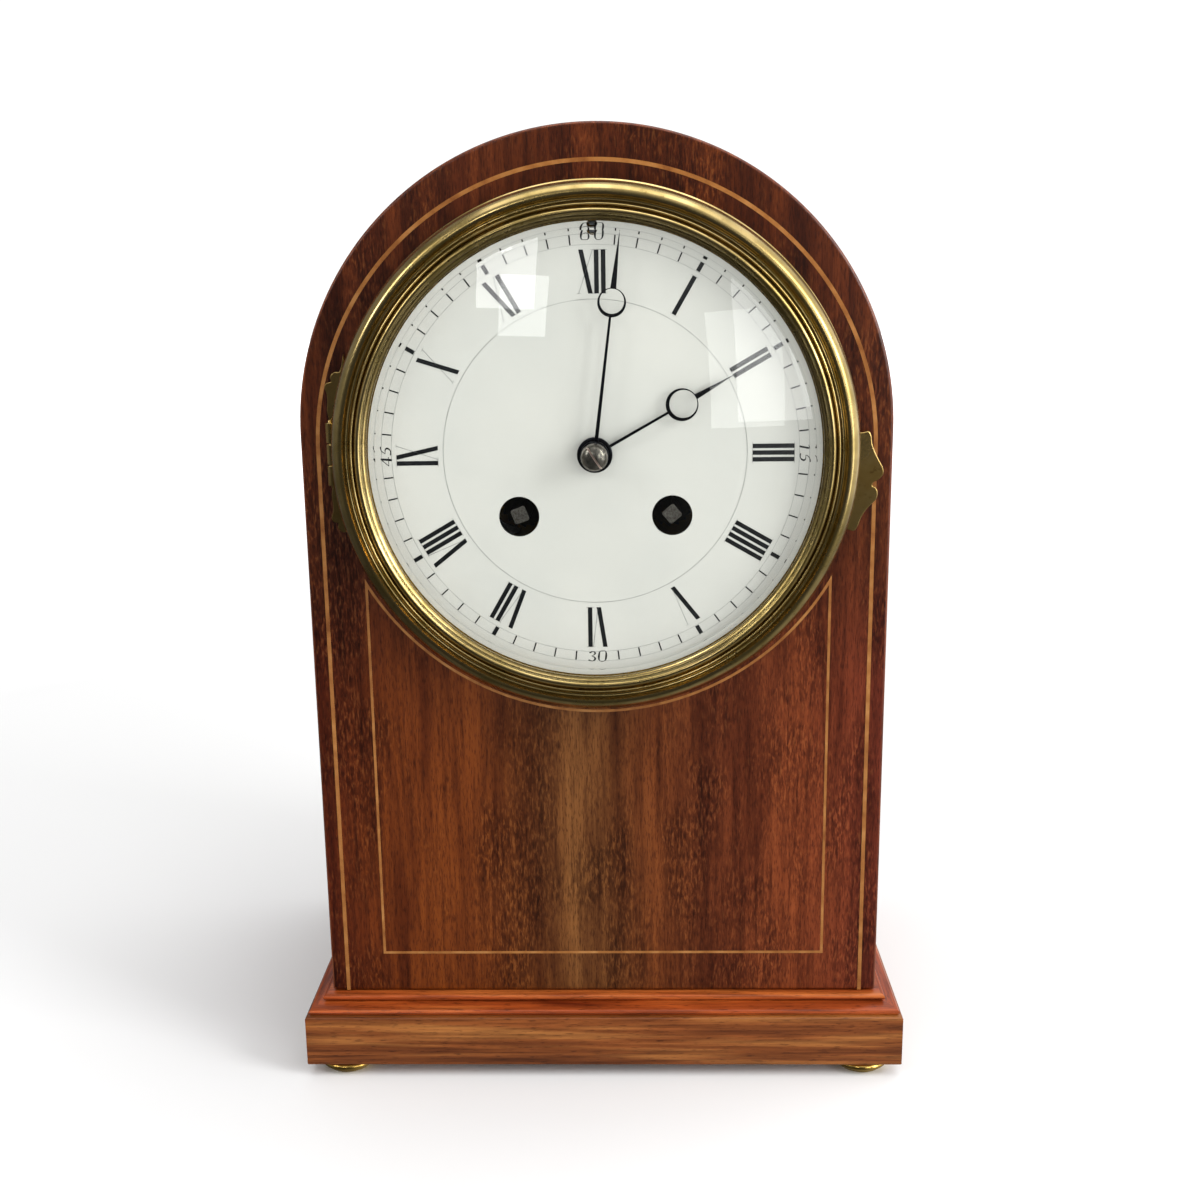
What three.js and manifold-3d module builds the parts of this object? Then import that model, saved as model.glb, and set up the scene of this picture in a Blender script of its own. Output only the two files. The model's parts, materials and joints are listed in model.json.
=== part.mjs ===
// A spring-driven bracket clock: a round-topped veneered case on a moulded base, with a round
// brass bezel and an enamel dial in front, and a striking pendulum movement inside.
// Millimetres, +Z up. The dial faces -Y, and the origin lies on the ground under the middle.

import * as THREE from 'three';
import { mergeVertices } from 'three/addons/utils/BufferGeometryUtils.js';
import Module from 'manifold-3d';

const wasm = await Module();
wasm.setup();

// ---- driving dimensions -------------------------------------------------------------------

// Roundness: the number of sides of large, middling and small circles
const largeSides = 36;
const middleSides = 16;
const smallSides = 8;

// Clearances
const fit = 0.3; // between pieces that seat on, hang in or turn in each other
const glueLine = 0.1; // between wooden pieces that are glued or screwed together

// Case
const caseWidth = 152;
const caseDepth = 110;
const frontThickness = 8;
const wallThickness = 8;
const backThickness = 7;
const backInset = 3;
const dialAboveCase = 152;
const archAboveDial = 4.5;

// Base, from the ground up
const footHeight = 3.5;
const footDiameter = 15.8;
const footEdge = 1.1;
const footInset = 8.1;
const footSideInset = 10.3;
const blockHeight = 14.5;
const blockOverhang = 7.3;
const blockSideOverhang = 6.7;
const blockRearOverhang = 2;
const mouldingHeight = 4.5;
const mouldingRecess = 1.3;

// Inlaid stringing on the front
const inlayDepth = 0.6;
const inlayGap = 0.12;
const outerLineWidth = 1;
const outerLineInset = 4.5;
const outerLineRise = 1.7;
const innerLineWidth = 0.7;
const innerLineFromBezel = 3.2;
const innerLineInside = 9.2;
const innerLineRise = 11.7;

// Dial and its fixed ring
const dialLap = 0.6;
const dialStandOff = 8;
const dialThickness = 1.2;
const ledgeThickness = 1;
const tubeWall = 1;
const tubeLength = 10;
const flangeThickness = 1.2;
const windingOffset = 19.4;
const windingDrop = 15.7;
const windingHoleRadius = 5.1;
const regulatorInset = 3;
const regulatorHoleRadius = 1.6;
const dialCentreHole = 3.2;

// Bezel door and glass
const bezelRadius = 66.8;
const bezelBorder = 9.9;
const lipStandOff = 4.4;
const lipThickness = 0.7;
const glassLap = 1.5;
const glassRim = 1.4;
const glassThickness = 1.6;
const glassBevel = 2.2;
const retainerThickness = 0.8;
const ovoloReach = 1.6;
const bezelWall = 1.2;
const nutClearance = 1.4;

// Bezel hinge and thumb tab
const hingeAway = 0.6;
const barrelRadius = 1.2;
const barrelHalf = 8;
const knuckleHalf = 2.6;
const hingePinRadius = 0.5;
const hingeForward = 1.5;
const ornamentThickness = 1.2;
const tabTurn = -7.2;

// Hands
const handThickness = 0.5;
const hourStandOff = 1.2;
const minuteStandOff = 1.3;
const colletRise = 0.6;
const hourColletRadius = 4.45;
const minuteColletRadius = 3.6;
const nutRadius = 3.35;
const nutHeight = 4.5;
const nutSlot = 0.4;
const nutSlotTurn = -57;
const hourShort = 18.2;
const hourRingAt = 25;
const hourRingOuter = 4.05;
const hourRingInner = 3.4;
const minuteShort = 3.5;
const minuteRingAt = 37.5;
const minuteRingOuter = 3.5;
const minuteRingInner = 2.9;
const stemWidth = 0.8;
const spearWidth = 1.5;
const hourTurn = 60.6;
const minuteTurn = 7.1;

// Movement plates, pillars and the straps that clamp the movement in the case
const palletRise = 36.5;
const plateMargin = 6.5;
const plateThickness = 1.5;
const frontPlateDepth = 12;
const plateSpacing = 34.5;
const pillarRadius = 2;
const pivotRadius = 0.55;
const pivotEase = 0.32;
const arborRadius = 0.9;
const strapWidth = 6;
const strapThickness = 1.5;
const screwRadius = 1;
const screwHead = 2.4;

// Going train: teeth, leaves and modules
const barrelTeeth = 60;
const barrelGap = 1.8;
const barrelLength = 20;
const secondLeaves = 10;
const secondTeeth = 60;
const secondModule = 0.43;
const centreLeaves = 10;
const centreTeeth = 60;
const centreModule = 0.42;
const thirdLeaves = 6;
const thirdTeeth = 72;
const thirdModule = 0.28;
const escapeLeaves = 6;
const escapeTeeth = 40;
const escapeRadius = 8.5;
const escapeRise = 24.6;
const wheelThickness = 1.2;
const meshEase = 0.05;

// Motion work and winding work in front of the plates
const cannonLeaves = 8;
const minuteTeeth = 24;
const motionModule = 0.6;
const minuteLeaves = 8;
const hourTeeth = 32;
const cannonBore = 0.9;
const cannonRadius = 1.3;
const hourPipeBore = 1.65;
const hourPipeRadius = 2.2;
const windingSquare = 3.9;
const ratchetTeeth = 16;
const ratchetRadius = 6.2;
const clickAt = 9.5;
const goingSquareTurn = 40;
const strikeSquareTurn = -21;

// Striking train
const pinLeaves = 6;
const pinTeeth = 60;
const pinModule = 0.3;
const pinCount = 6;
const flyLeaves = 6;
const flyHalf = 4.4;
const bellRadius = 31;
const bellHeight = 18;
const bellWall = 1.3;
const bellDrop = 2;
const bellBehind = 14.5;
const hammerLength = 18;
const hammerHeadRadius = 2.4;

// Pendulum
const pendulumLength = 140;
const pendulumBehind = 7.5;
const rodRadius = 0.7;
const bobRadius = 13;
const bobThickness = 9;
const springWidth = 2;
const springThickness = 0.3;
const springTop = 1.3;
const springLength = 7.5;
const crutchLength = 18;

// Rear door
const rearFlangeInset = 7;
const rearFlangeWidth = 6.5;
const rearDish = 4.5;
const rearSheet = 1.2;
const doorEase = 0.6;
const doorRimWidth = 10;
const doorSlopeWidth = 4;

// ---- levels and depths that follow --------------------------------------------------------

const halfWidth = caseWidth / 2;
const innerHalf = halfWidth - wallThickness;
const caseBottom = footHeight + blockHeight + mouldingHeight;
const archAboveCase = dialAboveCase + archAboveDial;
const blockHalf = halfWidth + blockSideOverhang;

// Radii that follow from the case and the bezel
const sightRadius = bezelRadius - bezelBorder;
const dialRadius = sightRadius + dialLap;
const regulatorRise = dialRadius - regulatorInset;
const hourReach = dialRadius - hourShort;
const minuteReach = dialRadius - minuteShort;
const outerLineRadius = halfWidth - outerLineInset;
const innerLineRadius = bezelRadius + innerLineFromBezel;
const innerLineHalf = innerLineRadius - innerLineInside;
const rearFlangeRadius = innerHalf - rearFlangeInset;
const rearTubeRadius = rearFlangeRadius - rearFlangeWidth;

// Depths are counted from the front face of the case, positive towards the back.
const flangeFront = -fit - flangeThickness;
const bezelBack = flangeFront - fit;
const dialFace = -dialStandOff;
const dialBack = dialFace + dialThickness;
const ledgeFront = dialBack + fit;
const ledgeBack = ledgeFront + ledgeThickness;
const lipFront = dialFace - lipStandOff;
const lipBack = lipFront + lipThickness;
const glassFront = lipBack + fit;
const glassBack = glassFront + glassRim;
const retainerFront = glassBack + fit;
const retainerBack = retainerFront + retainerThickness;
const hourBack = dialFace - hourStandOff;
const hourFront = hourBack - handThickness;
const minuteBack = hourFront - minuteStandOff;
const minuteFront = minuteBack - handThickness;
const nutBack = minuteFront - colletRise - fit;
const nutFront = nutBack - nutHeight;
const domeInside = nutFront - nutClearance;
const domeOutside = domeInside - glassThickness;
const hingeDepth = bezelBack - hingeForward;
const hingeAt = bezelRadius + hingeAway;

const tubeInner = dialRadius + 2 * fit + 0.1;
const tubeOuter = tubeInner + tubeWall;
const frontOpening = tubeOuter + fit;

const plateRadius = palletRise + plateMargin;
const frontPlateBack = frontPlateDepth + plateThickness;
const backPlateFront = frontPlateBack + plateSpacing;
const backPlateBack = backPlateFront + plateThickness;
const pendulumDepth = backPlateBack + pendulumBehind;
const bellMouth = backPlateBack + bellBehind;
const bellCrown = bellMouth + bellHeight;

const backBoardBack = caseDepth - backInset;
const backBoardFront = backBoardBack - backThickness;
const rearFlangeFront = backBoardBack + fit;
const rearFlangeBack = rearFlangeFront + rearSheet;
const doorFront = rearFlangeBack + fit;
const doorBack = caseDepth + rearDish;
const rearTubeInner = rearTubeRadius - tubeWall;
const rearHingeAt = rearFlangeRadius + barrelRadius + 0.2;
const rearHingeDepth = doorFront + rearSheet + 0.2;
const rearOpening = rearTubeRadius + fit + glueLine;
const strapAt = (plateRadius + rearTubeInner) / 2;
const screwAt = strapAt - 2.4;

const middleDepth = (doorBack + domeOutside) / 2;

// ---- shapes -------------------------------------------------------------------------------

const tau = 2 * Math.PI;
const radians = THREE.MathUtils.degToRad;
const polar = (radius, angle, [x, y] = [0, 0]) =>
	[x + radius * Math.cos(angle), y + radius * Math.sin(angle)];

/** A solid from a closed geometry, with its shared corners merged and no empty triangles. */
function solidOf(geometry) {
	const bare = geometry.clone();
	bare.deleteAttribute('normal');
	bare.deleteAttribute('uv');
	const merged = mergeVertices(bare, 1e-4);
	const corners = merged.index.array;
	const faces = [];
	for (let i = 0; i < corners.length; i += 3) {
		const [a, b, c] = corners.slice(i, i + 3);
		if (a !== b && b !== c && c !== a) faces.push(a, b, c);
	}
	const vertProperties = Float32Array.from(merged.attributes.position.array);
	const triVerts = Uint32Array.from(faces);
	return new wasm.Manifold(new wasm.Mesh({ numProp: 3, vertProperties, triVerts }));
}

/** The three.js geometry of a solid. */
function geometryOf(solid) {
	const { vertProperties, triVerts } = solid.getMesh();
	const geometry = new THREE.BufferGeometry();
	geometry.setAttribute('position', new THREE.BufferAttribute(vertProperties, 3));
	geometry.setIndex(new THREE.BufferAttribute(triVerts, 1));
	geometry.computeVertexNormals();
	return geometry;
}

const join = (...solids) => solids.reduce((whole, solid) => whole.add(solid));
const cut = (whole, ...tools) => tools.reduce((rest, tool) => rest.subtract(tool), whole);

/** An outline from [x, y] pairs, with any holes given as lists of pairs too. */
function outlineOf(points, holes = []) {
	const vectors = (pairs) => pairs.map(([x, y]) => new THREE.Vector2(x, y));
	const shape = new THREE.Shape(vectors(points));
	for (const hole of holes) shape.holes.push(new THREE.Path(vectors(hole)));
	return shape;
}

/** The corners of a regular polygon that stands for a circle. */
function circle(radius, sides = smallSides, centre = [0, 0], turn = 0) {
	return Array.from({ length: sides }, (_, i) => polar(radius, turn + tau * i / sides, centre));
}

/** A flat solid between two depths. */
function slab(shape, near, far, segments = 12) {
	const depth = far - near;
	const geometry = new THREE.ExtrudeGeometry(shape, { depth, bevelEnabled: false, curveSegments: segments });
	return solidOf(geometry.translate(0, 0, -far));
}

/** A round bar or disc between two depths. */
const disc = (radius, near, far, sides = smallSides, centre = [0, 0]) =>
	slab(outlineOf(circle(radius, sides, centre)), near, far);

/** A solid of revolution about the depth axis; the profile is [radius, depth] pairs. */
function turned(profile, sides = largeSides) {
	const points = profile.map(([radius, depth]) => new THREE.Vector2(radius, -depth));
	if (THREE.ShapeUtils.area(points) < 0) points.reverse();
	const onAxis = points[0].x === 0 && points[points.length - 1].x === 0;
	if (!onAxis) points.push(points[0].clone());
	return solidOf(new THREE.LatheGeometry(points, sides).rotateX(Math.PI / 2));
}

/** A rectangular block from its limits in x, in y and in depth. */
function block([left, right], [low, high], [near, far]) {
	const geometry = new THREE.BoxGeometry(right - left, high - low, far - near);
	return solidOf(geometry.translate((left + right) / 2, (low + high) / 2, -(near + far) / 2));
}

/** A round bar along y, such as a hinge knuckle or pin. */
function upright(radius, [low, high], x, depth, sides = smallSides) {
	const geometry = new THREE.CylinderGeometry(radius, radius, high - low, sides);
	return solidOf(geometry.translate(x, (low + high) / 2, -depth));
}

// ---- materials and placing ----------------------------------------------------------------

function surface(color, roughness, metalness = 0) {
	return new THREE.MeshStandardMaterial({ color, roughness, metalness });
}
const mahogany = () => surface(0x6b2e17, 0.35);
const boxwood = () => surface(0xc99a5b, 0.4);
const brass = () => surface(0xc9a35a, 0.25, 1);
const steel = () => surface(0x9a9ca0, 0.3, 1);
const bluedSteel = () => surface(0x14161c, 0.25, 1);

const clock = new THREE.Group();
clock.position.y = -middleDepth;

// The case group turns the flat outlines upright: y counts up from the bottom of the case.
const caseGroup = new THREE.Group();
caseGroup.rotation.x = Math.PI / 2;
caseGroup.position.z = caseBottom;
clock.add(caseGroup);

// The dial group has its origin at the middle of the dial.
const dialGroup = new THREE.Group();
dialGroup.position.y = dialAboveCase;
caseGroup.add(dialGroup);

function place(name, solid, material, group = dialGroup, [x, y, z] = [0, 0, 0]) {
	const mesh = new THREE.Mesh(geometryOf(solid), material);
	mesh.name = name;
	mesh.position.set(x, y, z);
	group.add(mesh);
}

// ---- case ---------------------------------------------------------------------------------

/** A round-topped outline on a flat foot, its arc about a point at the given height. */
function archOutline(half, low, centreHeight) {
	const shape = new THREE.Shape();
	shape.moveTo(-half, low);
	shape.lineTo(half, low);
	shape.lineTo(half, centreHeight);
	shape.absarc(0, centreHeight, half, 0, Math.PI, false);
	shape.closePath();
	return shape;
}

/** The tombstone-shaped line of stringing, as wide as given. */
function outerLine(width, near, far) {
	const low = outerLineRise - width / 2;
	const high = outerLineRise + width / 2;
	const outer = archOutline(outerLineRadius + width / 2, low, dialAboveCase);
	const inner = archOutline(outerLineRadius - width / 2, high, dialAboveCase);
	return cut(slab(outer, near, far), slab(inner, near - 1, far + 1));
}

/** The panel line: a box that is open at the top, closed by an arc that follows the bezel. */
function innerLineOutline(inset) {
	const half = innerLineHalf - inset;
	const radius = innerLineRadius + inset;
	const shoulder = Math.asin(half / radius);
	const shape = new THREE.Shape();
	shape.moveTo(-half, innerLineRise + inset);
	shape.lineTo(half, innerLineRise + inset);
	shape.absarc(0, dialAboveCase, radius, shoulder - Math.PI / 2, -Math.PI / 2 - shoulder, true);
	shape.closePath();
	return shape;
}

function innerLine(width, near, far) {
	const outer = slab(innerLineOutline(-width / 2), near, far);
	return cut(outer, slab(innerLineOutline(width / 2), near - 1, far + 1));
}

const board = archOutline(halfWidth, glueLine, archAboveCase);
board.holes.push(new THREE.Path(
	outlineOf(circle(frontOpening, largeSides, [0, dialAboveCase])).getPoints(),
));
place('front_board', cut(
	slab(board, 0, frontThickness),
	outerLine(outerLineWidth + 2 * inlayGap, -1, inlayDepth + inlayGap),
	innerLine(innerLineWidth + 2 * inlayGap, -1, inlayDepth + inlayGap),
), mahogany(), caseGroup);
place('outer_stringing', outerLine(outerLineWidth, 0, inlayDepth), boxwood(), caseGroup);
place('inner_stringing', innerLine(innerLineWidth, 0, inlayDepth), boxwood(), caseGroup);

const shellNear = frontThickness + glueLine;
place('case_shell', cut(
	slab(archOutline(halfWidth, glueLine, archAboveCase), shellNear, caseDepth),
	slab(archOutline(innerHalf, -1, archAboveCase), shellNear - 1, caseDepth + 1),
), mahogany(), caseGroup);

const backBoard = archOutline(innerHalf - glueLine, glueLine, archAboveCase);
backBoard.holes.push(new THREE.Path(
	outlineOf(circle(rearOpening, largeSides, [0, dialAboveCase])).getPoints(),
));
place('back_board', slab(backBoard, backBoardFront, backBoardBack), mahogany(), caseGroup);

// ---- base ---------------------------------------------------------------------------------

const blockBack = caseDepth + blockRearOverhang;
const blockLow = footHeight + glueLine - caseBottom;
const blockHigh = -mouldingHeight;
place('base_block', block(
	[-blockHalf, blockHalf], [blockLow, blockHigh], [-blockOverhang, blockBack],
), mahogany(), caseGroup);

/** The run of the moulding from the foot of the case down: [overhang, share of its height]. */
const mouldingWidest = blockOverhang - mouldingRecess;
const mouldingProfile = [
	[0.9, 0], [2, 0.06], [2.4, 0.2], [2.2, 0.36], [1.5, 0.42],
	[0.55 * mouldingWidest, 0.44], [0.78 * mouldingWidest, 0.53], [0.95 * mouldingWidest, 0.68],
	[mouldingWidest, 0.84], [mouldingWidest - 0.4, 0.92], [mouldingWidest, 1],
];

/** The moulding's section with a straight line behind it, as [outward, height] pairs. */
function mouldingSection(edge) {
	const height = mouldingHeight - 2 * glueLine;
	return mouldingProfile.map(([out, share]) => [edge + out, -glueLine - share * height]);
}
const frontRun = mouldingSection(0).map(([out, height]) => [-out, height]);
const frontSection = outlineOf([...frontRun,
	[blockBack, -mouldingHeight + glueLine], [blockBack, -glueLine]]);
const sideRun = mouldingSection(halfWidth - blockOverhang + blockSideOverhang);
const sideSection = outlineOf([...sideRun,
	...sideRun.map(([out, height]) => [-out, height]).reverse()]);

const alongX = new THREE.ExtrudeGeometry(frontSection, { depth: caseWidth * 2, bevelEnabled: false });
alongX.translate(0, 0, -caseWidth);
alongX.rotateY(Math.PI / 2);
place('base_moulding', solidOf(alongX)
	.intersect(slab(sideSection, -caseDepth, caseDepth * 2)), mahogany(), caseGroup);

const footX = blockHalf - footSideInset;
const feet = {
	foot_front_left: [-footX, footInset - blockOverhang],
	foot_front_right: [footX, footInset - blockOverhang],
	foot_rear_left: [-footX, blockBack - footInset],
	foot_rear_right: [footX, blockBack - footInset],
};
const footRadius = footDiameter / 2;
for (const [name, [x, y]] of Object.entries(feet)) {
	place(name, turned([
		[0, 0], [footRadius - footEdge, 0], [footRadius, -footEdge],
		[footRadius, -footHeight + footEdge], [footRadius - footEdge, -footHeight], [0, -footHeight],
	], middleSides), brass(), clock, [x, y, 0]);
}

// ---- fixed dial ring and dial -------------------------------------------------------------

const windingPoints = [[-windingOffset, -windingDrop], [windingOffset, -windingDrop]];
const postRadius = 1.8;
const postAt = plateRadius - 3;
const ledgeInner = plateRadius - 7;
const posts = [1, 3, 5, 7].map((eighth) => disc(
	postRadius, ledgeBack - 0.2, frontPlateDepth - fit, smallSides, polar(postAt, radians(45 * eighth)),
));
const flangeOuter = bezelRadius - 0.2;
place('dial_ring', cut(join(turned([
	[ledgeInner, ledgeFront], [tubeOuter, ledgeFront], [tubeOuter, flangeFront],
	[flangeOuter, flangeFront], [flangeOuter, -fit], [tubeOuter, -fit],
	[tubeOuter, tubeLength], [tubeInner, tubeLength], [tubeInner, ledgeBack], [ledgeInner, ledgeBack],
]), ...posts), disc(
	regulatorHoleRadius + fit, ledgeFront - 1, ledgeBack + 1, smallSides, [0, regulatorRise],
)), brass());

place('dial_plate', slab(outlineOf(circle(dialRadius, largeSides), [
	circle(dialCentreHole, middleSides),
	...windingPoints.map((centre) => circle(windingHoleRadius, middleSides, centre)),
	circle(regulatorHoleRadius, smallSides, [0, regulatorRise]),
]), dialFace, dialBack), surface(0xe9e8e0, 0.25));

// ---- bezel door ---------------------------------------------------------------------------

/** Hinge knuckles about an upright axis: rings over the given stretches, each with its leaf. */
function knuckles(stretches, x, depth, leaf) {
	return join(...stretches.map(([low, high]) => join(
		upright(barrelRadius, [low, high], x, depth), leaf([low, high]),
	)));
}
const hingeBore = (x, depth) =>
	upright(hingePinRadius + pivotEase, [-2 * barrelHalf, 2 * barrelHalf], x, depth);
const fixedStretches = [[-barrelHalf, -knuckleHalf - fit], [knuckleHalf + fit, barrelHalf]];
const doorStretch = [[-knuckleHalf, knuckleHalf]];

const glassRadius = sightRadius + glassLap;
const seatRadius = glassRadius + fit + 0.2;
const seatWall = 1.1;
const ovoloTop = [bezelRadius - 3.9, lipFront - ovoloReach];
const ovoloFoot = [bezelRadius - 0.9, bezelBack - 3.6];
const ovolo = [0.3, 0.6, 0.85].map((share) => [
	ovoloTop[0] + (ovoloFoot[0] - ovoloTop[0]) * Math.cos(share * Math.PI / 2),
	ovoloFoot[1] + (ovoloTop[1] - ovoloFoot[1]) * Math.sin(share * Math.PI / 2),
]);
const bezelProfile = [
	[bezelRadius, bezelBack], [bezelRadius, bezelBack - 2.4], ovoloFoot, ...ovolo, ovoloTop,
	[bezelRadius - 4.4, lipFront - 0.3], [bezelRadius - 5.7, lipFront - 0.1],
	[bezelRadius - 6, lipFront - 1.3], [bezelRadius - 6.6, lipFront - 1.3],
	[bezelRadius - 6.9, lipFront - 0.6], [sightRadius + 1.9, lipFront - 1.9],
	[sightRadius, lipFront], [sightRadius, lipBack],
	[seatRadius, lipBack], [seatRadius, retainerBack], [seatRadius + seatWall, retainerBack],
	[seatRadius + seatWall, lipBack + 0.3], [ovoloTop[0], lipBack - 0.3],
	[bezelRadius - bezelWall - 0.7, bezelBack - 5], [bezelRadius - bezelWall, bezelBack],
];
const bezelLeaf = ([low, high]) =>
	block([-hingeAt, -bezelRadius + bezelWall], [low, high], [hingeDepth - 1, hingeDepth + 1]);
const knuckleRoom = fixedStretches.map(([low, high]) =>
	upright(barrelRadius + fit, [low - fit, high + fit], -hingeAt, hingeDepth, 12));
place('bezel_frame', cut(
	join(turned(bezelProfile), knuckles(doorStretch, -hingeAt, hingeDepth, bezelLeaf)),
	...knuckleRoom, hingeBore(-hingeAt, hingeDepth),
), brass());

/** The dome of the glass, as points from its rim to its apex. */
function dome(radius, rim, apex, steps) {
	const rise = rim - apex;
	const sphere = (radius ** 2 + rise ** 2) / (2 * rise);
	return Array.from({ length: steps + 1 }, (_, i) => {
		const r = radius * (1 - i / steps);
		return [r, apex + sphere - Math.sqrt(sphere ** 2 - r ** 2)];
	});
}
const domeFoot = glassFront - glassBevel - 0.5;
place('bezel_glass', turned([
	[glassRadius, glassBack], [glassRadius, glassFront], [sightRadius - fit, glassFront],
	...dome(sightRadius - glassBevel, domeFoot, domeOutside, 3),
	...dome(sightRadius - glassBevel - 0.3, domeFoot + glassThickness, domeInside, 3).reverse(),
	[sightRadius - 0.6, glassBack],
], largeSides), new THREE.MeshStandardMaterial({
	color: 0xf4f8f6, roughness: 0.05, transparent: true, opacity: 0.25,
}));

place('glass_retaining_ring', turned([
	[sightRadius - fit, retainerFront], [seatRadius - fit, retainerFront],
	[seatRadius - fit, retainerBack], [sightRadius - fit, retainerBack],
]), brass());

place('bezel_hinge_pin', upright(
	hingePinRadius, [-barrelHalf - 0.8, barrelHalf + 0.8], -hingeAt, hingeDepth,
), brass());

/** A lobed plate that hugs the bezel: half of its edge is [along, outward], mirrored. */
function ornament(halfEdge, facing) {
	const bend = ([along, outward]) =>
		polar(bezelRadius + outward, facing + along / bezelRadius);
	const edge = [...halfEdge.slice().reverse().map(([along, out]) => [-along, out]), ...halfEdge];
	const span = halfEdge[halfEdge.length - 1][0];
	const inner = [1, 0.5, 0, -0.5, -1].map((share) => [share * span, fit]);
	return outlineOf([...edge, ...inner].map(bend));
}
const tabEdge = [
	[0.3, 5.1], [1.2, 6.3], [3, 6.9], [4.6, 6.2], [5.2, 4.7],
	[8, 3.7], [10.6, 3.4], [12.8, 3.1],
];
place('thumb_tab', slab(
	ornament(tabEdge, radians(tabTurn)), bezelBack - ornamentThickness, bezelBack,
), brass());

const hingeEdge = [
	[3, 2.2], [8, 2.4], [8.8, 4.4], [11, 5.6], [13, 4.5], [14.6, 5.3], [16.6, 4.3],
	[18.4, 3.2], [20.4, 2.8],
];
const fixedLeaf = ([low, high]) =>
	block([-hingeAt - barrelRadius, -hingeAt - 0.1], [low, high], [hingeDepth, -fit - 0.2]);
place('hinge_plate', cut(
	join(
		slab(ornament(hingeEdge, Math.PI), flangeFront, -fit),
		knuckles(fixedStretches, -hingeAt, hingeDepth, fixedLeaf),
	),
	hingeBore(-hingeAt, hingeDepth),
), brass());

// ---- hands --------------------------------------------------------------------------------

/** A slender hand with a ring near its spear; at rest it turns clockwise from twelve. */
function hand({ reach, ringAt, ringOuter, ringInner, collet, bore, near, far, turn }) {
	const ring = slab(outlineOf(circle(ringOuter, middleSides, [0, ringAt]),
		[circle(ringInner, middleSides, [0, ringAt + 0.6 * (ringOuter - ringInner)])]), near, far);
	const stem = slab(outlineOf([
		[-stemWidth / 2, 0], [stemWidth / 2, 0],
		[0.35 * stemWidth, ringAt - ringInner - 0.3], [-0.35 * stemWidth, ringAt - ringInner - 0.3],
	]), near, far);
	const base = ringAt + ringOuter - 0.25;
	const spear = slab(outlineOf([
		[-spearWidth / 2, base], [spearWidth / 2, base], [0.3, reach - 3], [0, reach], [-0.3, reach - 3],
	]), near, far);
	const hub = disc(collet, near - colletRise, far + colletRise, middleSides);
	const through = disc(bore, near - 2, far + 2, 12);
	return cut(join(hub, stem, ring, spear), through).rotate([0, 0, -turn]);
}
place('hour_hand', hand({
	reach: hourReach, ringAt: hourRingAt, ringOuter: hourRingOuter, ringInner: hourRingInner,
	collet: hourColletRadius, bore: hourPipeRadius + fit, near: hourFront, far: hourBack,
	turn: hourTurn,
}), bluedSteel());
place('minute_hand', hand({
	reach: minuteReach, ringAt: minuteRingAt, ringOuter: minuteRingOuter, ringInner: minuteRingInner,
	collet: minuteColletRadius, bore: cannonRadius + fit, near: minuteFront, far: minuteBack,
	turn: minuteTurn,
}), bluedSteel());

const domeOfNut = [0, 0.3, 0.65, 1].map((share) => [
	nutRadius * Math.sin(share * Math.PI / 2),
	nutFront + nutRadius * (1 - Math.cos(share * Math.PI / 2)),
]);
const nutSlotCut = block([-nutRadius, nutRadius], [-nutSlot / 2, nutSlot / 2],
	[nutFront - 1, nutFront + 0.8]).rotate([0, 0, nutSlotTurn]);
place('hand_nut', cut(turned([
	...domeOfNut, [nutRadius, nutBack], [cannonBore, nutBack],
	[cannonBore, nutFront + 1.9], [0, nutFront + 1.9],
], middleSides), nutSlotCut), bluedSteel());

// ---- toothed wheels -----------------------------------------------------------------------

const addendum = 0.75;
const dedendum = 1.1;
const barrelPitch = windingOffset - barrelGap;
const barrelModule = 2 * barrelPitch / barrelTeeth;

/** The outline of a wheel with pointed teeth, or of a pinion with flat-tipped leaves. */
function teethOutline(teeth, module, phase, tipShare = 0, rootShare = 0) {
	const pitch = tau / teeth;
	const tip = module * (teeth / 2 + addendum);
	const root = module * (teeth / 2 - dedendum);
	const shares = (share) => (share ? [-share / 2, share / 2] : [0]);
	const points = [];
	for (let i = 0; i < teeth; i++) {
		const at = phase + i * pitch;
		for (const share of shares(tipShare)) points.push(polar(tip, at + share * pitch));
		for (const share of shares(rootShare)) points.push(polar(root, at + (0.5 + share) * pitch));
	}
	return points;
}

/** A wheel, with crossings cut out of its web where it has a number of arms. */
function wheel(teeth, module, near, phase = 0, arms = 0) {
	const rim = module * (teeth / 2 - dedendum) - 1.1;
	const hub = 2.6;
	const crossings = Array.from({ length: arms }, (_, i) => {
		const [from, to] = [0, 1].map((end) => (i + end) * tau / arms);
		const inset = (radius) => 0.5 / radius;
		return [
			polar(hub, from + inset(hub)), polar(rim, from + inset(rim)),
			polar(rim, from + (to - from) / 3), polar(rim, to - (to - from) / 3),
			polar(rim, to - inset(rim)), polar(hub, to - inset(hub)),
		];
	});
	const shape = outlineOf(teethOutline(teeth, module, phase), crossings);
	return slab(shape, near, near + wheelThickness);
}

function pinion(leaves, module, near, far, phase = 0) {
	return slab(outlineOf(teethOutline(leaves, module, phase, 0.1)), near, far);
}

/** The phase of a pinion that has a gap wherever its driver has a tooth, and its distance. */
function phaseAgainst(driverTeeth, driverPhase, leaves, direction) {
	return direction + Math.PI + Math.PI / leaves
		+ (direction - driverPhase) * driverTeeth / leaves;
}
const spacing = (teeth, leaves, module) => module * (teeth + leaves) / 2 + meshEase;
const bearing = ([x0, y0], [x1, y1]) => Math.atan2(y1 - y0, x1 - x0);

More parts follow.
